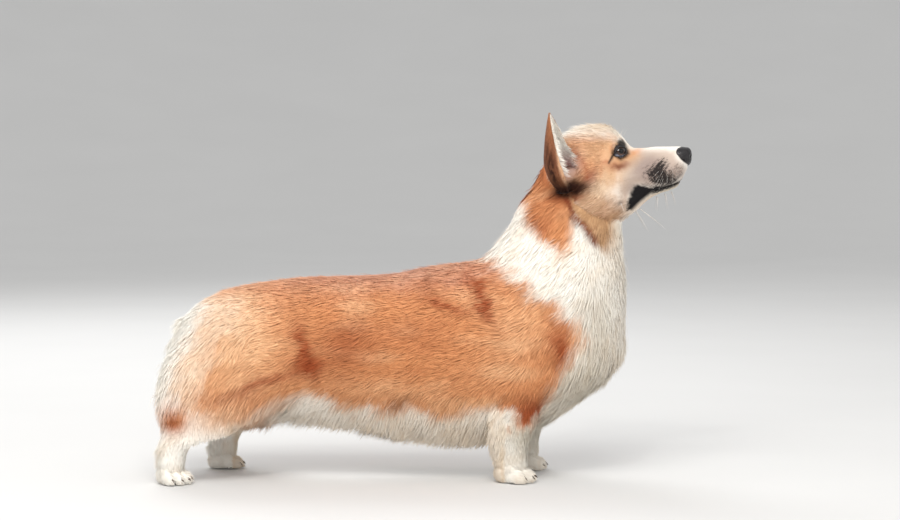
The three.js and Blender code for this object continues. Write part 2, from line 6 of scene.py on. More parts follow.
import bpy
import numpy as np
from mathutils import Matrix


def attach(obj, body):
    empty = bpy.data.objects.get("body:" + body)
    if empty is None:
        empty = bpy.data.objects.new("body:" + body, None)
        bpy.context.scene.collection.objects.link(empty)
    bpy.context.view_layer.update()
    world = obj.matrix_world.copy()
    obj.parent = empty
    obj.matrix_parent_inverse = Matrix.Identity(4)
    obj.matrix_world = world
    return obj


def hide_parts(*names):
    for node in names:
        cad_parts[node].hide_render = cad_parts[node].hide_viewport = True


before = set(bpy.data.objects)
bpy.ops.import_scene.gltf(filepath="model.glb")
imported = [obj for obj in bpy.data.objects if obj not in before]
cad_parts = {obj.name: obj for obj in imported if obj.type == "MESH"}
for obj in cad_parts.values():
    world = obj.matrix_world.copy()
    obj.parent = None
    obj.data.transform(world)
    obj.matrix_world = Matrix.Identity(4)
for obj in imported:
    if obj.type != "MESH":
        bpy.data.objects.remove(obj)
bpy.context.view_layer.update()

# Driving sizes, in millimetres

MIDDLE = np.array([4.5, -1.8, 0.0])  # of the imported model's box, in the outlines' frame
NECK_TILT = math.radians(20)
HIND_STAGGER = 55
FORE_STAGGER = 18
EYE_RADIUS = 10
EYE_PLACE = np.array([254.6, 28.8, 422.4])
EYE_SLANT = math.radians(24)
EYE_HALF_LENGTH = 9.6
EYE_HALF_HEIGHT = 6.6
TRUNK_COAT = 6.0  # how deep the skin lies below the trunk's outline
EAR_COAT = 1.0
FRINGE_LENGTH = 27  # longer tufts have one more bend
RIDGE = 0.28  # height of a tuft's ridge, as a share of its half-width
SKIN_VOXEL = 2.3
PAW_VOXEL = 1.2
BODY_CELL = 1.72  # one tuft in each cell of this size
LEG_CELL = 1.5
HEAD_CELL = 1.12
EAR_CELL = 1.15
PATCH = 0.003  # of the map, for each tuft
MOST_TRIANGLES = 195000  # in one piece of the coat
WAVES = 9  # sines in each ripple

rng = np.random.default_rng(11)

X = np.array([1.0, 0.0, 0.0])
Y = np.array([0.0, 1.0, 0.0])
Z = np.array([0.0, 0.0, 1.0])
SIDES = (1, -1)  # the dog's left and right

# Number tools


def sided(name, side):
    """A name that ends in _left or _right."""
    return name + ("_left" if side > 0 else "_right")


def unit(v):
    """A vector, or each row of an array of them, divided by its length."""
    return v / np.maximum(np.linalg.norm(v, axis=-1, keepdims=True), 1e-9)


def smooth(value, low, high):
    """0 below low, 1 above high, and 3t^2 - 2t^3 between them."""
    t = np.clip((value - low) / (high - low), 0, 1)
    return t * t * (3 - 2 * t)


def bump(away, spread):
    """A round rise: e to the power of minus (away / spread) squared."""
    return np.exp(-((away / spread) ** 2))


def bent(value, squareness):
    """The sign of value times its size to the power 2 / squareness, which squares an oval's corners."""
    return np.sign(value) * np.abs(value) ** (2 / squareness)


class Through:
    """A smooth function through (place, value) pairs that never overshoots them.

    Between two places it is the cubic that has the values and the limited slopes of its ends.
    """

    def __init__(self, *pairs):
        self.x, self.y = np.array(pairs, float).T
        step = np.diff(self.y) / np.diff(self.x)
        before, after = step[:-1], step[1:]
        mean = (before + after) / 2
        most = 3 * np.minimum(np.abs(before), np.abs(after))
        inner = np.where(before * after > 0, np.sign(mean) * np.minimum(np.abs(mean), most), 0)
        self.slope = np.concatenate([step[:1], inner, step[-1:]])

    def __call__(self, x):
        x = np.clip(x, self.x[0], self.x[-1])
        i = np.clip(np.searchsorted(self.x, x, side="right") - 1, 0, len(self.x) - 2)
        width = self.x[i + 1] - self.x[i]
        t = (x - self.x[i]) / width
        rise = 3 * t**2 - 2 * t**3
        leave = t * (1 - t) ** 2 * width * self.slope[i]
        arrive = t**2 * (t - 1) * width * self.slope[i + 1]
        return self.y[i] + (self.y[i + 1] - self.y[i]) * rise + leave + arrive


class Ripple:
    """Soft random waves about size apart: 1.2 / sqrt(WAVES) times the sum of sines along random ways."""

    def __init__(self, size, seed):
        draw = np.random.default_rng(seed)
        self.ways = unit(draw.normal(size=(WAVES, 3))) * (2 * math.pi / size)
        self.ways *= draw.uniform(0.6, 1.7, size=(WAVES, 1))
        self.phases = draw.uniform(0, 2 * math.pi, size=WAVES)

    def __call__(self, points):
        waves = np.zeros(len(points))
        for way, phase in zip(self.ways, self.phases):
            waves += np.sin(points @ way + phase)
        return waves / math.sqrt(WAVES) * 1.2


# Forms: ovals that change along a straight spine


class Form:
    """An oval at each place s of a spine: across * (at + cos' * wide) + up * (at + sin' * tall).

    The section at s gives the oval's middle, its sizes, its squareness, and its narrowing above (pinch)
    and below (under). The depth at s is that of the coat.
    """

    def __init__(self, along, across, up, start, stop, section, depth):
        self.along, self.across, self.up = along, across, up
        self.start, self.stop, self.section, self.depth = start, stop, section, depth

    def oval(self, s, angle, grow):
        """Points at angles round the ovals at places s, each oval grown by an amount."""
        o = self.section(s)
        square = o.get("square", 2.0)
        rise = bent(np.sin(angle), square)
        narrowing = np.where(rise > 0, o.get("pinch", 0.0), -o.get("under", 0.0)) * rise
        side = bent(np.cos(angle), square) * (1 - narrowing)
        tall = np.where(rise > 0, o["high"], o["low"])
        a = o.get("across_at", 0.0) + side * np.maximum(o["wide"] + grow, 1.0)
        b = o.get("up_at", 0.0) + rise * np.maximum(tall + grow, 1.0)
        s = s + 0 * angle
        return s[..., None] * self.along + a[..., None] * self.across + b[..., None] * self.up

    def share(self, points, grow=0.0):
        """How far out points lie in their oval: 1 on its edge, less inside, 9 past its ends."""
        s = points @ self.along
        o = self.section(np.clip(s, self.start, self.stop))
        square = o.get("square", 2.0)
        a = np.abs(points @ self.across - o.get("across_at", 0.0))
        b = points @ self.up - o.get("up_at", 0.0)
        tall = np.where(b > 0, o["high"], o["low"])
        share = (a / np.maximum(o["wide"] + grow, 1)) ** square
        share += (np.abs(b) / np.maximum(tall + grow, 1)) ** square
        return np.where((s < self.start) | (s > self.stop), 9.0, share ** (1 / square))

    def rings(self, count, sides, first, last):
        """A grid of points sunk below the outline by the coat's depth, its rings closer at the ends."""
        even = np.linspace(0, 1, count)
        eased = (1 - np.cos(np.pi * even)) / 2
        s = (first + (last - first) * (0.5 * even + 0.5 * eased))[:, None]
        angle = np.linspace(0, 2 * math.pi, sides, endpoint=False)[None, :]
        return self.oval(s + 0 * angle, angle + 0 * s, -self.depth(s + 0 * angle))


torso_top = Through(
    (-326, 178), (-316, 194), (-300, 216), (-280, 234), (-240, 250), (-201, 257), (-150, 263), (-60, 266),
    (-19, 270), (25, 280), (60, 284), (90, 286), (130, 279), (180, 250), (225, 210), (262, 172),
)
torso_bottom = Through(
    (-326, 160), (-316, 128), (-300, 108), (-270, 90), (-230, 82), (-180, 86), (-120, 81), (-60, 70),
    (0, 60), (60, 55), (110, 58), (150, 66), (190, 88), (225, 112), (262, 150),
)
torso_width = Through(
    (-326, 12), (-316, 36), (-300, 51), (-270, 64), (-230, 70), (-170, 71), (-110, 72), (-50, 75),
    (10, 79), (70, 81), (120, 79), (170, 70), (210, 56), (240, 40), (262, 16),
)


def torso_section(x):
    """Half-way between back and belly, and half their gap high."""
    level = (torso_bottom(x) + torso_top(x)) / 2
    half = (torso_top(x) - torso_bottom(x)) / 2
    return {"up_at": level, "high": half, "low": half, "wide": torso_width(x), "square": 2.25, "pinch": 0.1}


torso = Form(X, Y, Z, -326, 262, torso_section, lambda x: TRUNK_COAT)

neck_along = np.array([math.sin(NECK_TILT), 0, math.cos(NECK_TILT)])
neck_front = np.array([math.cos(NECK_TILT), 0, -math.sin(NECK_TILT)])
throat = Through(
    (118, 124), (126, 138), (140, 149), (160, 161), (181, 174), (208, 191), (230, 196), (250, 195),
    (285, 182), (321, 169), (351, 156), (368, 147.5), (388, 144), (405, 141), (425, 128), (462, 90),
)
nape = Through(
    (118, 100), (130, 78), (150, 60), (200, 30), (240, 5), (270, -38), (302, -19.5), (322, -13),
    (339, -7.5), (354, -3.5), (383, 0), (412, 3.2), (440, 3), (452, 8), (462, 22),
)
neck_width = Through(
    (118, 14), (126, 25), (140, 36), (160, 48), (181, 58), (210, 68), (240, 73), (270, 75),
    (300, 73), (322, 68), (350, 61), (375, 57), (400, 56), (415, 52), (430, 45), (445, 36), (462, 18),
)


def neck_section(s):
    """Half-way between throat and nape, and half their gap wide, narrower towards the skull."""
    return {
        "across_at": (throat(s) + nape(s)) / 2, "wide": (throat(s) - nape(s)) / 2,
        "high": neck_width(s), "low": neck_width(s), "square": 2.15,
        "pinch": 0.42 * smooth(s, 372, 415), "under": 0.42 * smooth(s, 372, 415),
    }


neck_depth = Through((118, 8), (200, 7), (300, 6.5), (360, 5.5), (395, 6.5), (420, 8), (462, 8))
neck = Form(neck_along, neck_front, Y, 118, 462, neck_section, neck_depth)


def neck_place(points):
    """How far points are along the neck's line, and how far ahead of it."""
    x, _, z = points.T
    along = x * math.sin(NECK_TILT) + z * math.cos(NECK_TILT)
    return along, x * math.cos(NECK_TILT) - z * math.sin(NECK_TILT)


def fore_shift(z):
    """How far ahead the left foreleg stands: all of its stagger at the ground and none in the trunk."""
    return FORE_STAGGER * (1 - smooth(z, 104, 175))


def hind_shift(z):
    """The same for the left hind leg."""
    return HIND_STAGGER * (1 - smooth(z, 50, 118))


def limb(side, stop, back, front, middle, thick, shift, depth):
    """Level ovals stacked from the paw up, between outlines of the back and the front."""

    def section(z):
        moved = shift(z) if side > 0 else 0.0
        return {
            "across_at": (back(z) + front(z)) / 2 + moved, "wide": (front(z) - back(z)) / 2,
            "up_at": side * middle(z), "high": thick(z), "low": thick(z), "square": 2.2,
        }

    return Form(Z, X, Y, LIMB_START, stop, section, depth)


LIMB_START = 9
leg_depth = Through((26, 2.2), (85, 3), (120, 5), (160, 6.5), (268, 6.5))
fore = {
    side: limb(
        side, 268,
        back=Through(
            (9, 104), (26, 97), (42, 93), (60, 91), (80, 89), (104, 90), (118, 80), (140, 68), (175, 56),
            (210, 48), (240, 46), (268, 58),
        ),
        front=Through(
            (9, 136), (26, 139), (42, 140), (60, 145), (80, 153), (104, 161), (112, 172), (130, 194),
            (150, 209), (175, 216), (200, 200), (230, 168), (268, 112),
        ),
        middle=Through((9, 58), (60, 54), (104, 50), (150, 47), (200, 43), (268, 22)),
        thick=Through(
            (9, 16), (26, 19.5), (42, 20.5), (60, 22), (80, 24.5), (104, 28.5), (115, 35), (140, 40.5),
            (175, 43), (210, 42), (240, 34), (268, 16),
        ),
        shift=fore_shift, depth=leg_depth,
    )
    for side in SIDES
}
hind = {
    side: limb(
        side, 246,
        back=Through(
            (9, -330), (26, -335), (45, -334), (60, -329), (72, -328), (84, -330), (96, -333), (112, -334),
            (135, -331), (165, -321), (200, -301), (225, -281), (246, -256),
        ),
        front=Through(
            (9, -304), (26, -299), (44, -294), (53, -284), (59, -264), (65, -240), (74, -228), (84, -216),
            (96, -198), (112, -168), (130, -160), (160, -164), (200, -184), (225, -204), (246, -236),
        ),
        middle=Through((9, 72), (50, 67), (70, 61), (96, 55), (130, 51), (170, 46), (210, 40), (246, 24)),
        thick=Through(
            (9, 14), (26, 17), (45, 18), (60, 20), (75, 23.5), (96, 28.7), (115, 34), (140, 38), (175, 39),
            (210, 32), (230, 21), (246, 6),
        ),
        shift=hind_shift, depth=leg_depth,
    )
    for side in SIDES
}

head_top = Through(
    (162, 408), (176, 434), (191, 447), (208, 455), (232, 458.5), (248, 455), (257, 449), (265, 441),
    (272, 433), (279, 429), (290, 428.5), (310, 430), (335, 430), (342, 428), (347, 422),
)
head_bottom = Through(
    (162, 386), (176, 366), (196, 346), (216, 333), (240, 328), (262, 333), (281, 344), (290, 353),
    (299, 360.5), (312, 367), (325, 371.5), (334, 377), (340, 388), (347, 400),
)
head_level = Through((162, 397), (190, 392), (225, 388), (260, 389), (290, 393), (325, 400), (347, 412))
head_width = Through(
    (162, 14), (172, 31), (186, 43), (200, 51.5), (214, 57), (228, 57.5), (243, 53.5), (257, 48),
    (270, 41), (284, 34.5), (300, 29), (318, 25.5), (332, 22), (341, 16.5), (347, 9),
)
head_narrow = Through((162, 0.1), (225, 0.18), (255, 0.24), (285, 0.27), (347, 0.16))
head_under = Through((162, 0), (205, -0.08), (240, -0.12), (258, 0.08), (285, 0.3), (310, 0.22), (347, 0.2))


def head_section(x):
    """About its own level, up to the outline of skull and bridge and down to that of the jaw."""
    level = head_level(x)
    return {
        "up_at": level, "high": head_top(x) - level, "low": level - head_bottom(x), "wide": head_width(x),
        "square": 2.25 + 0.25 * smooth(x, 255, 300), "pinch": head_narrow(x), "under": head_under(x),
    }


head_depth = Through((162, 6), (200, 4.5), (235, 3.2), (262, 1.8), (290, 1.1), (347, 0.7))
head = Form(X, Y, Z, 162, 347, head_section, head_depth)
mouth_line = Through(
    (262, 341), (268, 345), (276, 351.5), (286, 361), (298, 370.5), (312, 376.5), (326, 380.5),
    (338, 385), (350, 391),
)

# Eyes: a frame of three ways for each

eye_ahead = unit(np.array([0.46, 0.86, 0.12]))
eye_inner = unit(np.cross(eye_ahead, Z))
eye_up = unit(np.cross(eye_inner, eye_ahead))


def side_of(vector, side):
    """A vector of the left side, or its mirror image on the right."""
    return vector * np.array([1, side, 1])


def eye_share(points, side):
    """Where points lie about an eye's opening: share 1 on its edge, and how high above its corners."""
    away = points - side_of(EYE_PLACE, side)
    a = away @ side_of(eye_inner, side)
    b = away @ side_of(eye_up, side)
    along = a * math.cos(EYE_SLANT) + b * math.sin(EYE_SLANT)
    rise = b * math.cos(EYE_SLANT) - a * math.sin(EYE_SLANT)
    tall = EYE_HALF_HEIGHT * (1 - 0.3 * np.clip(np.abs(along) / EYE_HALF_LENGTH, 0, 1.3))
    share = np.hypot(along / EYE_HALF_LENGTH, rise / tall)
    return np.where(away @ side_of(eye_ahead, side) > 0, share, 9.0), rise


FACE_FORMS = [
    # rounded rises and hollows: place, spread and height
    ((259, 25, 441), 10, 2.8),  # brow
    ((259, 38, 423), 11, -2.4),  # eye socket
    ((272, 0, 434), 7, -1.6),  # stop
    ((252, 0, 455), 8, -1.4),  # furrow of the forehead
    ((222, 54, 374), 24, 2.5),  # cheek
    ((238, 50, 398), 12, 1.4),  # cheek bone
    ((322, 24, 395), 13, 2.2),  # whisker pad
    ((288, 26, 408), 12, -1.8),  # under the eye
    ((186, 40, 440), 15, 3),  # root of the ear
    ((300, 12, 430), 8, 0.8),  # bridge
]
EAR_HOLLOW = (196, 402)  # middle of the hollow at the foot of each ear, seen from the side
EAR_HOLLOW_TILT = -25  # degrees


def head_relief(points):
    """Moves points of the head out or in: rises, jaw, line of the mouth, ear bowls and lids."""
    x, y, z = points.T
    out = unit(np.stack([0 * x, y, z - head_level(x)], axis=1))
    rise = np.zeros(len(x))
    for place, spread, height in FACE_FORMS:
        away = np.sqrt((x - place[0]) ** 2 + (np.abs(y) - place[1]) ** 2 + (z - place[2]) ** 2)
        rise += height * bump(away, spread)
    above = z - mouth_line(x)
    in_mouth = smooth(x, 264, 276) * (1 - smooth(x, 341, 346))
    rise += in_mouth * (1.3 * bump(above - 3.2, 2.6) - 2.4 * bump(above + 0.2, 1.1))
    rise -= 1.2 * in_mouth * smooth(-above, 1, 3)
    rise += 1.2 * bump(above + 4.5, 3.0) * in_mouth
    moved = points + out * rise[:, None]
    moved[:, 1] *= 1 - 0.07 * smooth(-above, -1, 2) * smooth(x, 262, 285)
    # The hollow at the foot of each ear
    turn = math.radians(EAR_HOLLOW_TILT)
    ahead, above = x - EAR_HOLLOW[0], z - EAR_HOLLOW[1]
    a = ahead * math.cos(turn) - above * math.sin(turn)
    b = ahead * math.sin(turn) + above * math.cos(turn)
    hollow = np.clip(1 - (a / 15) ** 2 - (b / 23) ** 2, 0, 1)
    moved[:, 1] -= np.sign(y) * 8.5 * np.sqrt(hollow) * smooth(np.abs(y), 20, 32)
    for side in SIDES:
        centre = side_of(EYE_PLACE, side)
        share, up = eye_share(moved, side)
        away = moved - centre
        far = np.linalg.norm(away, axis=1)
        lid = EYE_RADIUS + 1.7 + 0.8 * smooth(up, -2, 5) - 0.5 * smooth(share, 1.1, 1.6)
        radius = np.where(share < 0.98, EYE_RADIUS - 2.4, lid)
        near = 1 - smooth(share, 1.25, 2.2)
        moved += unit(away) * (near * (radius - far))[:, None]
    return moved


def head_points(x, angle):
    """The head's ovals, sunk by the depth of the coat and then shaped by its relief."""
    flat = head.oval(x, angle, -head_depth(x)).reshape(-1, 3)
    return head_relief(flat).reshape(*x.shape, 3)


# Ears: a cup whose section is a crescent

FAR_EAR = np.array([3.8, 0.0, -0.8])  # the left ear stands a little ahead
EAR_ROOT = np.array([193.2, 44.0, 366.0])
EAR_TIP = np.array([165.5, 62.0, 472.0])
ear_length = float(np.linalg.norm(EAR_TIP - EAR_ROOT))
ear_up = unit(EAR_TIP - EAR_ROOT)
ear_open = np.array([math.cos(math.radians(24)), math.sin(math.radians(24)), 0])
ear_open = unit(ear_open - ear_up * (ear_open @ ear_up))
ear_side = unit(np.cross(ear_up, ear_open))
ear_wide = Through(
    (0, 9), (0.13, 17), (0.28, 23.5), (0.39, 23.5), (0.62, 17.5), (0.85, 10), (0.95, 5.5), (1, 2.4),
)
ear_deep = Through(
    (0, 9), (0.13, 16), (0.28, 22), (0.39, 22.5), (0.62, 16.5), (0.85, 8), (0.95, 3.8), (1, 1.6),
)
ear_bow = Through((0, 0), (0.5, 3.5), (1, 0))
ear_in = Through((0, 13), (0.3, 0), (1, 0))


def ear_points(t, turn, wall):
    """A point of the left ear: t up its length, turn round its crescent, wall in from its outside."""
    centre = EAR_ROOT + t[..., None] * ear_length * ear_up
    centre = centre - ear_bow(t)[..., None] * ear_open - ear_in(t)[..., None] * Y
    wide = np.maximum(ear_wide(t) - EAR_COAT - wall, 0.5)
    deep = np.maximum(ear_deep(t) - EAR_COAT - wall, 0.3)
    sideways = (np.sin(turn) * wide)[..., None] * ear_side
    return centre + sideways + (ear_deep(t) * 0.25 - np.cos(turn) * deep)[..., None] * ear_open


# Mesh tools


def quad_faces(a, b, c, d):
    """Two triangles for each four corners."""
    return np.concatenate([np.stack(corners, -1).reshape(-1, 3) for corners in ((a, b, c), (a, c, d))])


def grid_faces(rows, columns, close_ends=True):
    """Triangles of a grid that closes round its columns, with a point at each end if close_ends."""
    i, j = np.meshgrid(np.arange(rows - 1), np.arange(columns), indexing="ij")
    a, b = i * columns + j, i * columns + (j + 1) % columns
    faces = quad_faces(a, b, b + columns, a + columns)
    if close_ends:
        j = np.arange(columns)
        first, last = rows * columns, rows * columns + 1
        low = np.stack([(j + 1) % columns, j, 0 * j + first], -1)
        top = (rows - 1) * columns
        high = np.stack([top + j, top + (j + 1) % columns, 0 * j + last], -1)
        faces = np.concatenate([faces, low, high])
    return faces


def closed_grid(grid):
    """Points and triangles of a closed skin over rings, its ends drawn to their middles, facing out."""
    rows, columns = grid.shape[:2]
    points = np.concatenate([grid.reshape(-1, 3), grid[0].mean(0)[None], grid[-1].mean(0)[None]])
    return facing_out(points, grid_faces(rows, columns))


def facing_out(points, faces):
    """The same triangles, turned over if the volume they hold is negative."""
    a, b, c = (points[faces[:, k]] for k in range(3))
    volume = np.einsum("ij,ij->i", a, np.cross(b, c)).sum()
    return points, (faces if volume > 0 else faces[:, ::-1])


def ball(centre, radii, turns=()):
    """A closed oval ball: radii times the unit sphere, turned about axes by angles and moved."""
    up = np.linspace(-math.pi / 2, math.pi / 2, 22)[1:-1][:, None]
    turn = np.linspace(0, 2 * math.pi, 24, endpoint=False)[None, :]
    level = np.cos(up)
    grid = np.stack([level * np.cos(turn), level * np.sin(turn), np.sin(up) + 0 * turn], -1)
    grid = grid * np.array(radii)
    for axis, degrees in turns:
        grid = grid @ turning(axis, degrees).T
    return closed_grid(grid + np.array(centre))


def turning(axis, degrees):
    """The matrix that turns about the y or the z axis."""
    c, s = math.cos(math.radians(degrees)), math.sin(math.radians(degrees))
    about = {"y": [[c, 0, s], [0, 1, 0], [-s, 0, c]], "z": [[c, -s, 0], [s, c, 0], [0, 0, 1]]}
    return np.array(about[axis])


def joined(*shapes):
    """Several point and triangle pairs as one."""
    points, faces, count = [], [], 0
    for p, f in shapes:
        points.append(p)
        faces.append(f + count)
        count += len(p)
    return np.concatenate(points), np.concatenate(faces)


def new_piece(name, points, faces, finish):
    """A mesh object from points in millimetres of the outlines' frame."""
    mesh = bpy.data.meshes.new(name)
    mesh.vertices.add(len(points))
    mesh.vertices.foreach_set("co", ((points - MIDDLE) / 1000).astype(np.float32).ravel())
    mesh.loops.add(faces.size)
    mesh.loops.foreach_set("vertex_index", faces.astype(np.int32).ravel())
    mesh.polygons.add(len(faces))
    mesh.polygons.foreach_set("loop_start", np.arange(0, faces.size, 3, dtype=np.int32))
    mesh.polygons.foreach_set("use_smooth", np.ones(len(faces), bool))
    mesh.update(calc_edges=True)
    mesh.validate()
    piece = bpy.data.objects.new(name, mesh)
    bpy.context.scene.collection.objects.link(piece)
    if finish:
        mesh.materials.append(finish)
    return piece


def add_colours(piece, colours):
    """A colour for each point, given as rows of red, green and blue in linear light."""
    rgba = np.ones((len(colours), 4), np.float32)
    rgba[:, :3] = colours
    layer = piece.data.attributes.new("coat_colour", "FLOAT_COLOR", "POINT")
    layer.data.foreach_set("color", rgba.ravel())


def vertex_normals(points, faces):
    """The mean way out of the triangles about each point, each weighed by its area."""
    a, b, c = (points[faces[:, k]] for k in range(3))
    normal = np.cross(b - a, c - a)
    total = np.zeros_like(points)
    for k in range(3):
        for axis in range(3):
            total[:, axis] += np.bincount(faces[:, k], normal[:, axis], minlength=len(points))
    return unit(total)


def fused(shapes, voxel, share):
    """Closed shapes fused to one skin: remeshed at the voxel's size, smoothed, and thinned to a share."""
    piece = new_piece("fusing", *joined(*shapes), None)
    remesh = piece.modifiers.new("fuse", "REMESH")
    remesh.mode = "VOXEL"
    remesh.voxel_size = voxel / 1000
    soften = piece.modifiers.new("soften", "SMOOTH")
    soften.factor = 0.6
    soften.iterations = 4
    thin = piece.modifiers.new("thin", "DECIMATE")
    thin.ratio = share
    result = piece.evaluated_get(bpy.context.evaluated_depsgraph_get()).to_mesh()
    result.calc_loop_triangles()
    points = np.empty(len(result.vertices) * 3, np.float32)
    faces = np.empty(len(result.loop_triangles) * 3, np.int32)
    result.vertices.foreach_get("co", points)
    result.loop_triangles.foreach_get("vertices", faces)
    points = points.reshape(-1, 3).astype(float) * 1000 + MIDDLE
    mesh = piece.data
    bpy.data.objects.remove(piece)
    bpy.data.meshes.remove(mesh)
    return facing_out(points, faces.reshape(-1, 3))


def relaxed(points, faces, amount, rounds):
    """Each point drawn by its amount towards the mean of its neighbours, a number of times."""
    pairs = np.concatenate([faces[:, [0, 1]], faces[:, [1, 2]], faces[:, [2, 0]]])
    here, there = np.concatenate([pairs, pairs[:, ::-1]]).T
    count = np.bincount(here, minlength=len(points))
    for _ in range(rounds):
        mean = np.stack([np.bincount(here, points[there, k], len(points)) / count for k in range(3)], axis=1)
        points = points + amount[:, None] * (mean - points)
    return points


def seam_weight(points):
    """Near 1 where the outlines of two forms meet: a bump of the second nearest share to 1."""
    forms = [torso, neck, head, *fore.values(), *hind.values()]
    away = np.sort([np.abs(form.share(points, -TRUNK_COAT) - 1) for form in forms], axis=0)
    at_ear = smooth(points[:, 2], 366, 384) * smooth(points[:, 0], 165, 178)
    at_seam = bump(away[1], 0.34) * smooth(points[:, 2], 70, 110) * (1 - at_ear)
    far_stifle = smooth(points[:, 1], 20, 40) * bump(points[:, 0] + 165, 34) * bump(points[:, 2] - 92, 26)
    return np.maximum(at_seam, far_stifle)


# Paws

PAWS = [
    # x, y, turn in degrees and size
    (121 + FORE_STAGGER, 58, 14, 1.0),
    (121, -58, -14, 1.0),
    (-316 + HIND_STAGGER, 72, 16, 0.9),
    (-316, -72, -38, 0.9),
]
TOES = [(-15.5, 5, 15), (-5.5, 11, 16), (5.5, 11, 16), (15.5, 5, 15)]  # offset, reach and half-length


def placed(points, paw):
    """Points of a paw at the origin, put where that paw stands."""
    x, y, turn, size = paw
    return points * size @ turning("z", turn).T + np.array([x, y, 0])


def paw_shapes(paw):
    """Oval balls to be fused: the heel, two for each toe, and the joint above."""
    shapes = [ball((-7, 0, 12), (19, 17.5, 16.5))]
    for offset, reach, length in TOES:
        tilt = [("y", 14), ("z", offset * 0.9)]
        shapes.append(ball((reach, offset * 1.04, 9.4), (length - 0.6, 5.9, 9.6), tilt))
        shapes.append(ball((reach - 8, offset * 0.86, 17), (11, 5.6, 8.5), tilt))
    shapes.append(ball((-10, 0, 26), (15, 14.5, 15)))
    return [(placed(points, paw), faces) for points, faces in shapes]


def claw_shapes(paw):
    """Claws: round sections along a quarter turn that narrow to a blunt tip."""
    shapes = []
    for offset, reach, length in TOES:
        t = np.linspace(0, 1, 9)[:, None]
        angle = np.linspace(0, 2 * math.pi, 10, endpoint=False)[None, :]
        bend = t * math.radians(58)
        radius = 2.3 * (1 - 0.8 * t**1.3)
        along = np.sin(bend) * 9 - 2 + 0 * angle + np.sin(bend) * np.sin(angle) * radius * 0.4
        side = np.cos(angle) * radius * 0.75
        up = (np.cos(bend) - 1) * 8.1 + np.sin(angle) * radius * 1.1 * np.cos(bend)
        grid = np.stack([along + 0 * side, side, up + 0 * side], -1) + np.array([length - 3, 0, 0])
        grid = grid @ turning("z", offset * 0.9).T + np.array([reach, offset, 9.3])
        points, faces = closed_grid(grid)
        points = placed(points, paw)
        points[:, 2] = np.maximum(points[:, 2], 0.3)
        shapes.append((points, faces))
    return shapes


def pad_shapes(paw):
    """Pads under the toes and the heel, just proud of the skin's flat underside."""
    shapes = [ball((-6, 0, 3.0), (12, 12.5, 2.9))]
    for offset, reach, _ in TOES:
        shapes.append(ball((reach + 1, offset, 2.8), (8.5, 5.0, 2.7), [("z", offset * 0.9)]))
    return [(placed(points, paw), faces) for points, faces in shapes]


# Colours of the coat


def linear(*rgb):
    """An sRGB colour of 0 to 255 in linear light."""
    c = np.array(rgb, float) / 255
    return np.where(c <= 0.04045, c / 12.92, ((c + 0.055) / 1.055) ** 2.4)


RED = linear(214, 146, 98)
RUST = linear(156, 74, 40)
PEACH = linear(238, 192, 148)
# a pale rose for the painted skylight along the back
SKYLIGHT_ROSE = linear(210, 158, 134)
PALE = linear(244, 214, 182)
SAND = linear(226, 182, 146)
FAWN = linear(206, 162, 122)
TAN = linear(194, 152, 112)
CREAM = linear(254, 250, 242)
IVORY = linear(236, 217, 192)
# a greyed cream, for painted shade on pale hair
SHADE = linear(200, 192, 176)
# a dark rust for painted shade in the neck's crease
CREASE_SHADE = linear(126, 60, 34)
BLACK = linear(17, 13, 15)
UMBER = linear(52, 27, 17)
GREY = linear(120, 108, 102)
MUZZLE = linear(158, 140, 132)
MUZZLE_FAWN = linear(188, 166, 150)
EAR_BROWN = linear(130, 82, 60)
NOSE_SKIN = linear(24, 20, 23)
EAR_SKIN = linear(208, 178, 166)
# bare skin of the ear, darkened for painted shade
EAR_BARE_SKIN_SHADE = linear(164, 124, 118)

EYE_WHITE = linear(44, 36, 36)
# pale bluish white low on the ball: partly the eye's white, partly a painted reflection
EYE_WHITE_LOW_AND_REFLECTION = linear(150, 152, 168)
IRIS_EDGE = linear(12, 8, 7)
IRIS = linear(56, 34, 24)
# a lighter copy of the iris for its lower half: painted light
IRIS_LOW_PAINTED_LIGHT = linear(122, 94, 82)
PUPIL = linear(2, 2, 3)

waves_large = Ripple(90, 1)
waves_middle = Ripple(34, 2)
waves_small = Ripple(11, 3)
waves_fine = Ripple(4.5, 4)
waves_speck = Ripple(2.0, 5)


def beside(x, z, line):
    """How far points seen from the side are from a line through places."""
    nearest = np.full(len(x), np.inf)
    for (ax, az), (bx, bz) in zip(line, line[1:]):
        run_x, run_z = bx - ax, bz - az
        t = np.clip(((x - ax) * run_x + (z - az) * run_z) / (run_x**2 + run_z**2), 0, 1)
        nearest = np.minimum(nearest, np.hypot(x - ax - t * run_x, z - az - t * run_z))
    return nearest


def within(x, z, corners, softness):
    """1 inside a polygon seen from the side, 0 outside, with an edge as wide as softness."""
    closed = [*corners, corners[0]]
    inside = np.zeros(len(x), bool)
    for (ax, az), (bx, bz) in zip(closed, closed[1:]):
        if az != bz:
            inside ^= ((az > z) != (bz > z)) & (x < ax + (z - az) * (bx - ax) / (bz - az))
    nearest = beside(x, z, closed)
    return smooth(np.where(inside, nearest, -nearest), -softness / 2, softness / 2)


def patch(x, z, centre, spread, degrees):
    """A soft tilted oval seen from the side: e to minus the squares of a / spread and b / spread."""
    c, s = math.cos(math.radians(degrees)), math.sin(math.radians(degrees))
    a = (x - centre[0]) * c + (z - centre[1]) * s
    b = (z - centre[1]) * c - (x - centre[0]) * s
    return np.exp(-((a / spread[0]) ** 2) - (b / spread[1]) ** 2)


def blended(base, colour, amount):
    """base + (colour - base) * amount, for each point."""
    return base + (colour - base) * np.clip(amount, 0, 1)[:, None]


def toned(colours, x, z, tones, share=1.0):
    """Soft oval patches laid on in turn. Each has its colour, amount, centre, spread and degrees."""
    for colour, amount, centre, spread, degrees in tones:
        colours = blended(colours, colour, amount * share * patch(x, z, centre, spread, degrees))
    return colours


def plain(colour, count):
    """One colour for a number of points."""
    return np.tile(colour, (count, 1))


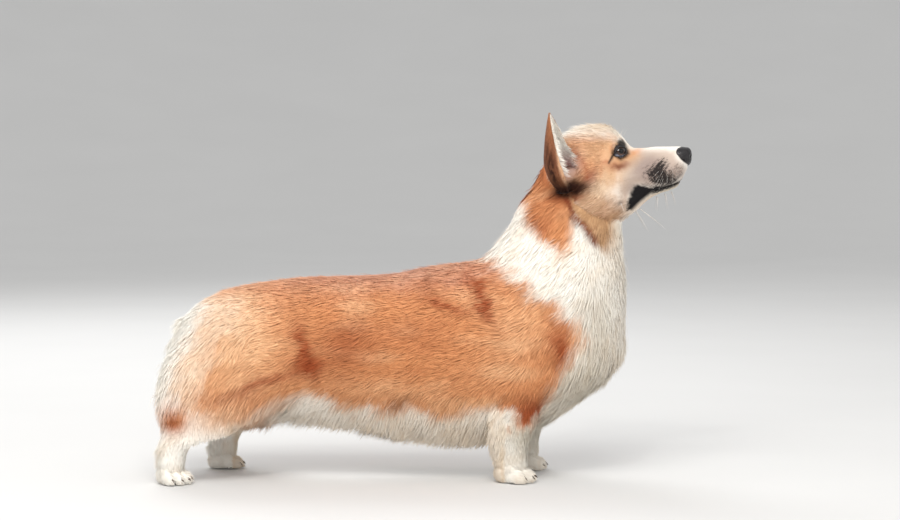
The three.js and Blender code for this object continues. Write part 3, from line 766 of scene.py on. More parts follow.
BODY_RED = [
    (60, 330), (74, 286), (103, 273), (141, 248), (166, 223), (205, 199), (215, 181), (192, 169),
    (187, 152), (174, 127), (165, 108), (143, 67), (102, 104), (77, 93), (26, 89), (-25, 93), (-88, 102),
    (-152, 113), (-184, 106), (-228, 84), (-280, 92), (-318, 108), (-318, 190), (-296, 236), (-250, 330),
]
NECK_RED = [
    (150, 450), (122, 420), (124, 372), (137, 350), (143, 330), (154, 311), (172, 297), (193, 294),
    (194, 328), (196, 350), (212, 400), (215, 450),
]
FACE_RED = [
    (160, 440), (193, 443), (223, 447), (243, 446), (256, 439), (266, 430), (283, 425), (281, 417),
    (268, 403), (256, 393), (246, 381), (243, 368), (246, 354), (256, 340), (248, 322), (226, 303),
    (196, 350), (160, 381),
]
# Patches on the red coat: its own tones, with painted shade in the folds and a painted skylight sheen on the
# back
RED_TONES_SHADE_AND_SHEEN = [
    (PEACH, 0.9, (-232, 188), (52, 62), 0),  # thigh
    (PEACH, 0.3, (-222, 128), (45, 20), -10),
    (PALE, 0.7, (-244, 208), (34, 30), 30),
    (PEACH, 0.5, (124, 206), (42, 32), 30),  # shoulder
    (PEACH, 0.2, (105, 150), (46, 26), 20),
    (SKYLIGHT_ROSE, 0.75, (-20, 264), (190, 21), 4),  # back: painted skylight, a pale rosy sheen along the top
    (PEACH, 0.4, (-40, 118), (80, 16), -5),
    (RUST, 0.6, (-95, 176), (34, 32), 0),  # flank
    (RUST, 0.3, (-20, 190), (60, 22), 0),
    (RUST, 1.8, (-146, 168), (8, 30), 20),  # painted shade in the crease in front of the thigh
    (RUST, 1.0, (-143, 150), (18, 12), 0),
    (RUST, 0.75, (-205, 127), (60, 7), 17),
    (RUST, 1.5, (79, 233), (7, 30), 25),  # streaks of the shoulder
    (RUST, 1.1, (34, 227), (28, 7), -20),
    (RUST, 1.0, (184, 170), (14, 34), 24),  # edge of the shoulder
    (RUST, 0.95, (142, 92), (28, 22), 0),  # elbow
    # painted shade: a dark line in the fold of the elbow
    (UMBER, 0.45, (90, 98), (26, 4), 30),
    (UMBER, 0.4, (-25, 104), (16, 7), 25),
    (RUST, 0.55, (160, 392), (26, 26), 0),  # nape
    (RUST, 0.4, (150, 330), (20, 20), 0),
]
HOCK_TONES = [
    (SAND, 0.9, (-256, 86), (40, 19), 8),
    (RED, 1.2, (-313, 82), (17, 16), 20),
    (RUST, 0.7, (-314, 78), (11, 12), 20),
]
CREAM_PAINTED_SHADE = [
    (SHADE, 0.6, (226, 190), (26, 80), 0),  # painted shade on the chest's front
    (SHADE, 0.7, (205, 118), (45, 30), 30),
    (SHADE, 0.95, (140, 60), (32, 38), 0),  # painted shade on the forelegs
]
UNDER_EAR_RUST_AND_SHADOW = [
    (RUST, 0.75, (180, 365), (17, 10), 10),  # below the ear
    # painted shadow under the ear
    (UMBER, 1.5, (190, 374), (21, 8.5), 6),
]
FACE_TONES_AND_JAW_LIGHT = [
    (RED, 0.8, (206, 412), (15, 40), -10),  # in front of the ear
    (SAND, 0.6, (216, 430), (28, 12), 12),  # temple
    (SAND, 0.7, (240, 414), (12, 16), 15),
    (TAN, 0.4, (224, 426), (20, 12), 0),
    (RUST, 0.9, (219, 389), (8, 15), -20),
    (RUST, 0.65, (252, 404), (13, 5.5), 0),  # under the eye
    (RUST, 0.6, (239, 411), (6, 4.5), 40),
    (RED, 0.45, (250, 402), (15, 9), 0),
    (IVORY, 0.75, (238, 376), (22, 18), 20),  # cheek
    (IVORY, 0.8, (264, 388), (17, 14), 40),
    (SAND, 0.7, (228, 350), (32, 17), 10),  # jaw
    # painted light that lifts the shaded underside of the jaw
    (PALE, 0.5, (216, 352), (22, 13), 10),
    (RUST, 0.8, (198, 363), (11, 9), 0),  # under the ear
]
MUZZLE_TONES = [
    (SAND, 0.6, (250, 352), (22, 16), 20),
    (TAN, 0.5, (244, 340), (24, 12), 20),
    (MUZZLE, 0.9, (300, 404), (24, 12), -5),
    (MUZZLE, 0.7, (306, 390), (28, 12), 0),
    (MUZZLE, 0.8, (289, 398), (18, 13), 0),
    (MUZZLE, 0.6, (296, 412), (14, 8), 0),
    (MUZZLE, 0.6, (270, 376), (9, 9), 0),
    (MUZZLE, 0.5, (332, 396), (10, 12), 0),
    (TAN, 0.5, (300, 362), (44, 7), 24),  # jaw
    (SHADE, 0.7, (322, 374), (26, 7), 12),  # chin
    (IVORY, 0.8, (225, 455), (40, 9), 0),  # brow
]
EAR_HOLLOW_SKIN_AND_SHADE = [
    (EAR_SKIN, 0.9, (195, 402), (11, 18), EAR_HOLLOW_TILT),
    # painted shade on the bare skin deep in the hollow
    (EAR_BARE_SKIN_SHADE, 0.7, (189, 406), (6, 15), EAR_HOLLOW_TILT),
]
SPECKLES = [
    # amount, centre, spread and degrees
    (0.8, (309, 403), (6, 11), -35),
    (0.55, (300, 396), (9, 6), 0),
    (0.7, (317, 391), (11, 7), 0),
    (0.85, (313, 385), (15, 5), 0),
    (0.3, (307, 397), (23, 17), 0),
    (0.25, (335, 402), (7, 9), 0),
]
LIP_BLACK = [
    (266, 347), (267, 358), (270, 369), (274, 378.5), (283, 380.5), (295, 378.5), (306, 380), (317, 381),
    (327, 386), (337, 393), (327, 382), (317, 377.5), (306, 372), (298, 369), (290, 362.5), (281, 355),
    (273, 346.5),
]
MUZZLE_SIDE = [
    (267, 416), (283, 426), (302, 426), (318, 426), (328, 423), (333, 413), (340, 405), (344, 399),
    (339, 392), (318, 383), (295, 378), (280, 379), (271, 372), (264, 360), (256, 372), (257, 400),
]
# painted shadow under the brow, black above the eye
BROW_SHADOW = [
    (247, 420), (248.5, 425), (251, 430), (254, 435.5), (258, 439), (262, 439.5), (266, 435),
    (269, 428), (271.5, 420), (264, 415.5), (258, 412.5), (252, 415.5),
]
JAW_TAN = [
    (176, 356), (180, 330), (195, 306), (212, 286), (228, 284), (242, 302), (250, 326), (262, 342),
    (270, 352), (240, 400), (200, 400),
]
NOSE_BLACK = [
    (332.5, 423), (334.5, 427), (340, 429), (354, 429), (354, 406), (345, 407), (340.5, 409.5),
    (336.5, 413), (333.5, 417),
]
EYE_LINE = [(251, 424), (246.5, 417), (242, 409.5)]
EAR_EDGE = [(198, 424), (207, 412), (213, 400), (215, 389)]
CREASE = [
    (190, 362), (192, 355), (195, 342), (201, 335), (209, 330), (215, 322.5), (220, 315), (224, 306),
]


def body_colour(points):
    """Red over the back, flanks, thighs and shoulders, cream on the collar, chest, belly, legs and rump, with
    painted shade in the creases, under the ear and on the chest and forelegs, and a painted skylight sheen
    along the back.
    """
    x, y, z = points.T
    rough = 5 * waves_middle(points) + 3.5 * waves_small(points)
    moved = x - np.where(y > 25, np.where(x < 0, hind_shift(z), fore_shift(z)), 0)
    red = within(moved + rough, z + 0.6 * rough, BODY_RED, 17)
    on_neck = within(x + 0.5 * rough, z + 0.5 * rough, NECK_RED, 12)
    red = np.maximum(red, on_neck * np.maximum(smooth(np.abs(y), 8, 22), smooth(z, 325, 360)))
    tone = 0.5 + 0.25 * waves_middle(points * np.array([0.35, 1, 1])) + 0.15 * waves_large(points)
    coat = blended(plain(RED, len(x)), PEACH, 0.5 * smooth(tone, 0.45, 1.05))
    coat = blended(coat, RUST, 0.3 * smooth(-tone, -0.35, 0.15))
    coat = toned(coat, x + 0.5 * rough, z + 0.5 * rough, RED_TONES_SHADE_AND_SHEEN)
    ripple = smooth(waves_small(points * np.array([0.45, 0.8, 1.3])), 0.2, 1.2)
    coat = blended(coat, RUST, 0.38 * ripple * smooth(z, 236, 262) * (x < 120))
    rump = smooth(rough - x - 262 - 0.43 * (208 - z), -34, 34) * (1 - smooth(z, 222, 242))
    coat = blended(coat, CREAM, rump)
    cream = blended(plain(CREAM, len(x)), IVORY, 0.3 * smooth(waves_middle(points), 0.1, 1.2))
    strands = smooth(waves_small(points * np.array([1.0, 1.0, 0.3])), 0.0, 1.1)
    # ivory strands, denser low on the chest's front and under the belly: partly the coat's own tone, partly
    # painted shade
    lower = 1 - smooth(z, 150, 235)
    cream = blended(cream, IVORY, (0.25 + 0.5 * strands) * lower * smooth(x, 120, 190))
    cream = blended(cream, IVORY, (0.5 + 0.4 * strands) * (1 - smooth(z, 60, 130)) * (x < 110) * (x > -250))
    colours = blended(cream, coat, red)
    colours = blended(colours, SAND, 0.45 * red * (1 - red) * 4 * (1 - rump))
    colours = blended(colours, PALE, 0.7 * red * 4 * rump * (1 - rump))
    colours = toned(colours, moved, z, HOCK_TONES, smooth(np.abs(y), 25, 40))
    side = smooth(np.abs(y), 16, 34)
    ahead_of_crease = smooth(x + 0.69 * z - 437, -4, 4)
    tan = within(x + 0.4 * rough, z + 0.4 * rough, JAW_TAN, 26) * ahead_of_crease
    colours = toned(colours, x, z, [(IVORY, 0.8, (246, 322), (18, 28), 0)], smooth(np.abs(y), 4, 20))
    colours = blended(colours, TAN, 1.1 * side * tan * (1 - 0.4 * smooth(x, 232, 262)))
    # painted shade along the crease of the neck behind the jaw
    colours = blended(colours, CREASE_SHADE, 1.2 * side * bump(beside(x + 0.2 * rough, z, CREASE), 3.6))
    colours = toned(colours, x, z, CREAM_PAINTED_SHADE, 1 - red)
    return toned(colours, x, z, UNDER_EAR_RUST_AND_SHADOW, side)


def head_colour(points):
    """Red sides, a pale blaze and muzzle, black lips and lids, and grey speckles by the nose, with painted
    shadow under the brows and the ears and painted light under the jaw.
    """
    x, y, z = points.T
    rough = 2.4 * waves_middle(points) + 1.6 * waves_small(points)
    ragged = 0.45 * rough + 0.9 * waves_fine(points)
    red = within(x + rough, z + rough, FACE_RED, 24)
    red *= smooth(np.abs(y), 9, 21) * (0.25 + 0.75 * smooth(458 - z, 4, 26))
    tone = 0.5 + 0.3 * waves_middle(points) + 0.2 * waves_small(points)
    coat = blended(plain(FAWN, len(x)), RED, 0.4 * smooth(tone, 0.3, 1.0))
    coat = toned(coat, x + rough, z + rough, FACE_TONES_AND_JAW_LIGHT)
    cream = blended(plain(CREAM, len(x)), IVORY, 0.5 * smooth(waves_middle(points), 0.0, 1.0))
    cream = blended(cream, MUZZLE_FAWN, 0.85 * within(x, z, MUZZLE_SIDE, 14))
    cream = toned(cream, x, z, MUZZLE_TONES)
    colours = blended(cream, coat, red)
    colours = toned(colours, x + rough, z + rough, [(FAWN, 0.7, (247, 388), (13, 14), 0)])
    colours = toned(colours, x, z, [(RED, 0.6, (278, 423), (9, 4), 20)])
    colours = toned(colours, x + 0.2 * rough, z + 0.3 * rough, [(EAR_BROWN, 1.0, (256, 405), (12, 4.6), 5)])
    below_line = mouth_line(x) - z
    speckle = sum(amount * patch(x, z, *place) for amount, *place in SPECKLES)
    speckle += 1.1 * smooth(x, 294, 310) * smooth(below_line, 0, 2) * (1 - smooth(below_line, 2, 7))
    grain = (0.3 * waves_speck(points) + 0.12 * waves_fine(points)) * smooth(speckle, 0.03, 0.3)
    speckle = 0.95 * smooth(speckle + grain, 0.16, 0.82)
    colours = blended(colours, BLACK, speckle * smooth(np.abs(y), 7, 14))
    lips = within(x + ragged, z + ragged, LIP_BLACK, 6.5)
    near_line = bump(0.4 - below_line, 2.3) * smooth(x, 294, 304) * (1 - smooth(x, 343, 348))
    colours = blended(colours, BLACK, np.maximum(lips, near_line))
    colours = toned(colours, x, z, [(GREY, 0.8, (257, 358), (3.4, 2.4), 0)])
    corner_line = bump(beside(x, z, EYE_LINE), 1.4 + 1.2 * smooth(x, 242, 249))
    for side in SIDES:
        rim = 1 - smooth(eye_share(points, side)[0], 1.12, 1.3)
        # black above the eye is painted shadow under the brow, joined to the dark line at the eye's outer
        # corner
        brow = within(x + 0.3 * rough, z + 0.4 * waves_fine(points), BROW_SHADOW, 6)
        brow = np.maximum(brow, corner_line) * smooth(y * side, 12, 19)
        colours = blended(colours, BLACK, np.maximum(rim, 0.96 * brow))
    colours = blended(colours, NOSE_SKIN, within(x, z, NOSE_BLACK, 2))
    colours = toned(colours, x, z, EAR_HOLLOW_SKIN_AND_SHADE, smooth(np.abs(y), 20, 30))
    colours = blended(colours, RUST, 0.8 * bump(beside(x, z, EAR_EDGE), 1.8) * smooth(np.abs(y), 25, 35))
    # painted shadow under the ear
    return toned(colours, x, z, [(UMBER, 1.7, (197, 377), (19, 9.5), 6)])


# Surfaces of the skin

TRUNK_GRID, NECK_GRID, LIMB_GRID = (70, 60), (60, 60), (56, 44)  # rings, and points round each
body_rings = [torso.rings(*TRUNK_GRID, -320, 257), neck.rings(*NECK_GRID, 125, 458)]
body_rings += [form.rings(*LIMB_GRID, LIMB_START, 262) for form in fore.values()]
body_rings += [form.rings(*LIMB_GRID, LIMB_START, 243) for form in hind.values()]
body_shapes = [closed_grid(rings) for rings in body_rings]
body_shapes.append(ball((-302, 0, 196), (17, 10, 13), [("y", -38)]))  # the tail's stump
# The underside of the skull, so that the neck's skin runs on beneath the head
bridge_at = np.meshgrid(np.linspace(172, 272, 44), np.linspace(0, 2 * math.pi, 60)[:-1], indexing="ij")
bridge = head.oval(*bridge_at, -4.4)
bridge[..., 1] *= 1 - 0.45 * smooth(bridge[..., 2], 348, 382)
bridge[..., 2] = np.minimum(bridge[..., 2], 425)
body_shapes.append(closed_grid(bridge))
body_points, body_faces = fused(body_shapes, SKIN_VOXEL, 0.3)
body_points = relaxed(body_points, body_faces, 0.6 * seam_weight(body_points), 60)
body_points = relaxed(body_points, body_faces, 0.5 * smooth(body_points[:, 2], 45, 90), 6)
body_points[:, 2] = np.maximum(body_points[:, 2], 6)
paw_points, paw_faces = fused([shape for paw in PAWS for shape in paw_shapes(paw)], PAW_VOXEL, 0.35)
paw_points[:, 2] = np.maximum(paw_points[:, 2], 0.8)
leg_points, leg_faces = joined((body_points, body_faces), (paw_points, paw_faces))

HEAD_ROWS, HEAD_COLUMNS = 236, 208
HEAD_BACK, HEAD_FRONT = 165, 346.2
head_x = HEAD_BACK + (HEAD_FRONT - HEAD_BACK) * np.linspace(0, 1, HEAD_ROWS) ** 0.94
head_angle = np.linspace(0, 2 * math.pi, HEAD_COLUMNS, endpoint=False) + math.pi / 2
head_grid = head_points(*np.meshgrid(head_x, head_angle, indexing="ij"))
head_mesh = closed_grid(head_grid)

EAR_ROWS, EAR_OUTSIDE, EAR_INSIDE = 52, 34, 30
EAR_STRETCH = 0.2  # the ear with its edges' hair is wider by this share, from back to front
ear_t = 0.07 + 0.93 * np.linspace(0, 1, EAR_ROWS)[:, None] ** 0.95
ear_half = np.radians(104 - 8 * ear_t)
outside_turn = ear_half * np.linspace(-1, 1, EAR_OUTSIDE)[None, :]
inside_turn = ear_half * np.linspace(0.97, -0.97, EAR_INSIDE)[None, :]
ear_wall = 1.9 - 1.0 * ear_t + 0.6 * bump(ear_t - 0.1, 0.15)
ear_outside = ear_points(ear_t + 0 * outside_turn, outside_turn, 0 * outside_turn)
ear_inside = ear_points(ear_t + 0 * inside_turn, inside_turn, ear_wall + 0 * inside_turn)
ear_grid = np.concatenate([ear_outside, ear_inside], axis=1)
ear_grid = ear_grid + EAR_STRETCH * ((ear_grid - EAR_ROOT) @ ear_open)[..., None] * ear_open
ear_mesh = closed_grid(ear_grid)
ear_meshes = {1: (ear_mesh[0] + FAR_EAR, ear_mesh[1]), -1: closed_grid(side_of(ear_grid, -1))}


def ear_colour(points, inner):
    """Red-brown outside with dark streaks, a pale rim and painted shadow at its foot; cream inside over bare
    skin at the foot, where shade is painted on the skin.
    """
    t = (points - EAR_ROOT) @ ear_up / ear_length
    ahead = (points - EAR_ROOT) @ ear_open
    streak = smooth(waves_fine(points * np.array([1.1, 1.1, 0.14])), -0.7, 0.8)
    back = blended(plain(RED, len(t)), EAR_BROWN, 0.45 + 0.5 * bump(t - 0.5, 0.35))
    back = blended(back, UMBER, (0.4 + 0.6 * streak) * bump(t - 0.36, 0.36) * bump(ahead + 7, 9))
    back = blended(back, SAND, 0.8 * smooth(ahead, 2, 6) * (1 - smooth(t, 0.8, 1)))
    # painted shadow at the foot of the ear
    back = blended(back, UMBER, 1 - smooth(t, 0.12, 0.3))
    hair = blended(plain(CREAM, len(t)), SHADE, 0.3 * streak)
    hair = blended(hair, EAR_SKIN, 1 - smooth(t, 0.22, 0.4))
    # painted shade on the bare skin at the foot of the lining
    hair = blended(hair, EAR_BARE_SKIN_SHADE, 0.95 * bump(t - 0.38, 0.14) * smooth(-ahead, -6, 3))
    return np.where(inner[:, None], hair, back)


# Materials


class Socket:
    """A node's output. Sums and products of it add their Math nodes."""

    def __init__(self, finish, output):
        self.finish, self.output = finish, output

    def _with(self, operation, first, second):
        """A Math node of two sockets or numbers."""
        inputs = {0: first, 1: second}
        return self.finish.node("ShaderNodeMath", {"operation": operation}, inputs)

    def __add__(self, other):
        return self._with("ADD", self, other)

    def __sub__(self, other):
        return self._with("SUBTRACT", self, other)

    def __rsub__(self, other):
        return self._with("SUBTRACT", other, self)

    def __mul__(self, other):
        return self._with("MULTIPLY", self, other)

    __radd__ = __add__
    __rmul__ = __mul__


class Finish:
    """A material whose nodes are made by one method."""

    def __init__(self, name, **sockets):
        self.material = bpy.data.materials.new(name)
        self.material.use_nodes = True
        self.nodes = self.material.node_tree.nodes
        self.links = self.material.node_tree.links
        self.shader = self.nodes["Principled BSDF"]
        for socket, value in sockets.items():
            self.shader.inputs[socket.replace("_", " ")].default_value = value

    def node(self, kind, settings=None, inputs=None, output=0):
        """Adds a node, sets its settings, then its sockets' values or links, and gives an output."""
        made = self.nodes.new(kind)
        for name, value in (settings or {}).items():
            setattr(made, name, value)
        for name, value in (inputs or {}).items():
            self.feed(made.inputs[name], value)
        return Socket(self, made.outputs[output])

    def feed(self, socket, value):
        """Links an output to a socket, or sets the socket's value."""
        if isinstance(value, Socket):
            self.links.new(value.output, socket)
        else:
            socket.default_value = value

    def shade(self, socket, value):
        """Feeds a socket of the material's shader."""
        self.feed(self.shader.inputs[socket], value)

    def place(self):
        """The place on the object, in metres."""
        return self.node("ShaderNodeTexCoord", output="Object")

    def noise(self, scale, detail=3.0, stretch=None):
        """Clouds of a scale, drawn out along the axes whose stretch is small."""
        where = self.place()
        if stretch:
            where = self.node("ShaderNodeMapping", inputs={"Vector": where, "Scale": stretch})
        return self.node("ShaderNodeTexNoise", inputs={"Vector": where, "Scale": scale, "Detail": detail})

    def coat_colour(self):
        """The colours that add_colours gave the piece."""
        return self.node("ShaderNodeAttribute", {"attribute_name": "coat_colour"}, output="Color")

    def mix(self, factor, a, b, blend="MIX"):
        """A colour between a and b, or a with b blended on."""
        settings = {"data_type": "RGBA", "blend_type": blend}
        return self.node("ShaderNodeMix", settings, {0: factor, 6: a, 7: b}, output=2)

    def between(self, share, first, second):
        """Sets the colour between two sRGB colours of 0 to 255."""
        self.shade("Base Color", self.mix(share, (*linear(*first), 1), (*linear(*second), 1)))

    def bumped(self, height, strength, distance):
        """Bends the light as if the surface rose by the height times the distance."""
        inputs = {"Height": height, "Strength": strength, "Distance": distance}
        self.shade("Normal", self.node("ShaderNodeBump", inputs=inputs))


def coat_finish():
    """Hair: the coat's colours with fine streaks and a soft sheen."""
    made = Finish("corgi_hair", Sheen_Weight=0.06, Sheen_Roughness=0.4, Specular_IOR_Level=0.12)
    streak = made.noise(scale=900.0, detail=2.0)
    dark = made.mix((streak - 0.3) * 0.3, made.coat_colour(), (0.8, 0.72, 0.66, 1.0), "MULTIPLY")
    made.shade("Base Color", dark)
    made.shade("Roughness", streak * 0.25 + 0.5)
    return made.material


def skin_finish():
    """Skin under short fur: the same colours, with the fine lie of the hair as bump."""
    made = Finish("corgi_skin", Sheen_Weight=0.06, Specular_IOR_Level=0.15)
    fine = made.noise(scale=420.0, detail=5.0, stretch=(0.35, 1.0, 1.0))
    colour = made.mix((fine - 0.35) * 0.5, made.coat_colour(), (0.74, 0.64, 0.56, 1.0), "MULTIPLY")
    made.shade("Base Color", colour)
    made.shade("Roughness", fine * 0.2 + 0.62)
    made.bumped(fine, strength=0.5, distance=0.0008)
    return made.material


def leather_finish():
    """Nose, lids and pads: black pebbled leather, its gloss and tone varying in soft clouds."""
    made = Finish("nose_black")
    inputs = {"Vector": made.place(), "Scale": 620.0}
    cells = made.node("ShaderNodeTexVoronoi", {"feature": "DISTANCE_TO_EDGE"}, inputs, output="Distance")
    cloud = made.noise(scale=160.0)
    made.between(cloud, (12, 10, 12), (36, 31, 34))
    made.shade("Roughness", cloud * 0.25 + 0.2)
    made.bumped(cells, strength=0.6, distance=0.0006)
    return made.material


def claw_finish():
    """Horn with its grain drawn out along the claw."""
    made = Finish("claw_horn")
    grain = made.noise(scale=300.0, detail=4.0, stretch=(0.3, 1.0, 1.0))
    made.between(grain, (44, 36, 32), (122, 104, 88))
    made.shade("Roughness", grain * 0.25 + 0.28)
    made.bumped(grain, strength=0.3, distance=0.0003)
    return made.material


def eye_finish():
    """The ball: its attribute holds iris, pupil and white, with a painted reflection and painted light low on
    the ball, under a clear wet coat.
    """
    made = Finish("eye_wet", Coat_Weight=0.8, Coat_Roughness=0.02, Coat_IOR=1.55, Specular_IOR_Level=0.0)
    fibre = made.noise(scale=700.0)
    colour = made.mix((fibre - 0.3) * 0.7, made.coat_colour(), (0.5, 0.4, 0.35, 1), "MULTIPLY")
    made.shade("Base Color", colour)
    made.shade("Roughness", fibre * 0.1 + 0.1)
    return made.material


def whisker_finish():
    """Stiff white hair, greyer in places."""
    made = Finish("whisker_white", Roughness=0.4)
    made.between(made.noise(scale=60.0), (238, 234, 228), (168, 160, 152))
    return made.material


def floor_finish():
    """A pale matt floor with faint clouds."""
    made = Finish("floor_pale", Roughness=0.85)
    tone = made.noise(scale=3.0)
    made.shade("Base Color", made.mix(tone, (0.70, 0.70, 0.695, 1), (0.74, 0.74, 0.735, 1)))
    return made.material


hair = coat_finish()
skin_material = skin_finish()
leather = leather_finish()
horn = claw_finish()
eye_material = eye_finish()
whisker_material = whisker_finish()


def keep(piece, slot, *nodes):
    """Puts a piece on the one body and hides the solids it stands for; its slot is not used."""
    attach(piece, "root")
    if nodes:
        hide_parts(*nodes)


# Skin: one piece for all the flesh

ear_inner_flag = np.zeros((EAR_ROWS, EAR_OUTSIDE + EAR_INSIDE), bool)
ear_inner_flag[:, EAR_OUTSIDE:] = True
ear_inner_flag = np.concatenate([ear_inner_flag.ravel(), [False, False]])
skin_points, skin_faces = joined((leg_points, leg_faces), head_mesh, ear_meshes[1], ear_meshes[-1])
on_ear = ear_colour(ear_mesh[0], ear_inner_flag)
skin_colours = np.concatenate([body_colour(leg_points), head_colour(head_mesh[0]), on_ear, on_ear])
skin = new_piece("skin", skin_points, skin_faces, skin_material)
add_colours(skin, skin_colours)
FLESH = ["torso", "neck", "head", "lower_jaw", "tail"]
for part in ("ear", "shoulder", "foreleg", "forepaw", "thigh", "hindleg", "hindpaw"):
    FLESH += [sided(part, side) for side in SIDES]
keep(skin, "coat_red", *FLESH)

# Eyes, lids, nose, claws and pads


def eye_ball(side):
    """A ball with a low rise over the iris: radius + 0.8 (1 - (angle / edge)^2) within its edge."""
    tilt = np.linspace(0, math.pi, 62)[1:-1][:, None]
    turn = np.linspace(0, 2 * math.pi, 48, endpoint=False)[None, :]
    edge = math.radians(38)
    radius = EYE_RADIUS + 0.8 * np.clip(1 - (tilt / edge) ** 2, 0, 1) + 0 * turn
    gaze = unit(np.array([0.36, 0.9, 0.2]))
    inner = unit(np.cross(gaze, Z))
    ahead, inner, up = (side_of(v, side) for v in (gaze, inner, np.cross(inner, gaze)))
    out = radius * np.sin(tilt)
    grid = (radius * np.cos(tilt))[..., None] * ahead + (out * np.cos(turn))[..., None] * inner
    grid = grid + (out * np.sin(turn))[..., None] * up
    points, faces = closed_grid(grid + side_of(EYE_PLACE, side))
    away = np.concatenate([(np.degrees(tilt) + 0 * turn).ravel(), [0, 180]])
    # low on the ball the white turns pale and bluish and the iris lighter: painted reflection and painted
    # light
    below = smooth(-(points - side_of(EYE_PLACE, side)) @ up, 3.0, 6.0)
    colours = blended(EYE_WHITE, EYE_WHITE_LOW_AND_REFLECTION, below)
    colours = blended(colours, IRIS_EDGE, 1 - smooth(away, 34, 37))
    colours = blended(colours, blended(IRIS, IRIS_LOW_PAINTED_LIGHT, below), 1 - smooth(away, 30, 34))
    colours = blended(colours, PUPIL, 1 - smooth(away, 18, 22))
    piece = new_piece(sided("eyeball", side), points, faces, eye_material)
    add_colours(piece, colours)
    return piece


def tube(path, radius, sides, loop=False):
    """Round sections of a radius across each way of a path of points."""
    ahead = np.roll(path, -1, 0) - np.roll(path, 1, 0) if loop else np.gradient(path, axis=0)
    ahead = unit(ahead)
    guide = np.where(np.abs(ahead @ Z)[:, None] > 0.9, X, Z)
    side = unit(np.cross(guide, ahead))
    up = np.cross(ahead, side)
    angle = np.linspace(0, 2 * math.pi, sides, endpoint=False)
    ring = np.cos(angle)[None, :, None] * side[:, None] + np.sin(angle)[None, :, None] * up[:, None]
    grid = path[:, None] + ring * np.broadcast_to(radius, len(path))[:, None, None]
    if not loop:
        return closed_grid(grid)
    rows = len(path)
    i, j = np.meshgrid(np.arange(rows), np.arange(sides), indexing="ij")
    a, b = i * sides + j, i * sides + (j + 1) % sides
    c, d = (i + 1) % rows * sides + (j + 1) % sides, (i + 1) % rows * sides + j
    return facing_out(grid.reshape(-1, 3), quad_faces(a, b, c, d))


def lid_rim(side):
    """The bare edge of the lids: a thin roll round the opening, on a ball a little larger than the eye."""
    turn = np.linspace(0, 2 * math.pi, 72, endpoint=False)
    along = np.cos(turn) * EYE_HALF_LENGTH * 1.03
    tall = EYE_HALF_HEIGHT * (1 - 0.3 * np.abs(np.cos(turn)))
    rise = np.sin(turn) * tall * 1.03
    a = along * math.cos(EYE_SLANT) - rise * math.sin(EYE_SLANT)
    b = along * math.sin(EYE_SLANT) + rise * math.cos(EYE_SLANT)
    depth = np.sqrt(np.maximum((EYE_RADIUS + 1.0) ** 2 - a**2 - b**2, 9))
    ahead, inner, up = (side_of(v, side) for v in (eye_ahead, eye_inner, eye_up))
    path = side_of(EYE_PLACE, side) + depth[:, None] * ahead + a[:, None] * inner + b[:, None] * up
    return tube(path, radius=0.7, sides=8, loop=True)


NOSTRILS = [
    # place, spread and depth of each dent of a comma that turns out and down
    ((351.5, 5.6, 417.5), 3.0, 4.2),
    ((348.5, 9.2, 416.4), 2.4, 3.0),
    ((344.5, 13.0, 414.2), 1.9, 2.2),
    ((341, 15.5, 412.6), 1.5, 1.4),
]


def nose_mesh():
    """Leather of the nose: squared ovals along its length, dented by two comma nostrils and a cleft."""
    wide = Through((328, 12), (331, 16.2), (336, 17), (342, 15.8), (348, 12.6), (351, 8), (352.6, 0.8))
    level = Through((328, 418.5), (333, 418), (340, 417.2), (347, 416.4), (350.5, 416.4), (352.6, 417))
    tall = Through((328, 5), (331, 9), (336, 11.2), (346, 11.9), (350, 9.8), (352, 5.2), (352.6, 0.8))
    share = np.linspace(0, 1, 64)
    x = (328 + 24.6 * (1 - (1 - share) ** 1.6))[:, None]
    angle = np.linspace(0, 2 * math.pi, 88, endpoint=False)[None, :]
    rise = bent(np.sin(angle), 2.3)
    y = bent(np.cos(angle), 2.3) * wide(x) * (1 + (0.14 * smooth(x, 338, 347) - 0.05) * rise)
    z = level(x) + rise * tall(x)
    grid = np.stack([x + 0 * angle, y, z], -1)
    out = unit(grid - np.array([338.0, 0, 417]))
    dent = np.zeros(grid.shape[:2])
    for side in SIDES:
        for place, spread, deep in NOSTRILS:
            away = np.linalg.norm(grid - side_of(np.array(place), side), axis=-1)
            dent = np.maximum(dent, deep * bump(away, spread))
    dent = dent + 1.1 * bump(y, 0.9) * smooth(418 - z, 0, 3) * smooth(x, 344, 348)
    return closed_grid(grid - out * dent[..., None])


for side in SIDES:
    keep(eye_ball(side), "eye", sided("eye", side))
keep(new_piece("lid_rims", *joined(lid_rim(1), lid_rim(-1)), leather), "nose_leather")
keep(new_piece("nose_leather", *nose_mesh(), leather), "nose_leather", "nose")
claws = [shape for paw in PAWS for shape in claw_shapes(paw)]
keep(new_piece("claws", *joined(*claws), horn), "nose_leather")
pads = [shape for paw in PAWS for shape in pad_shapes(paw)]
keep(new_piece("paw_pads", *joined(*pads), leather), "nose_leather")

# Coat: where tufts grow, how they lie and how long they are


TRIES = 3.0  # places drawn for each cell, of which one is kept
CELLS_ACROSS = 4000  # more than there are along any side


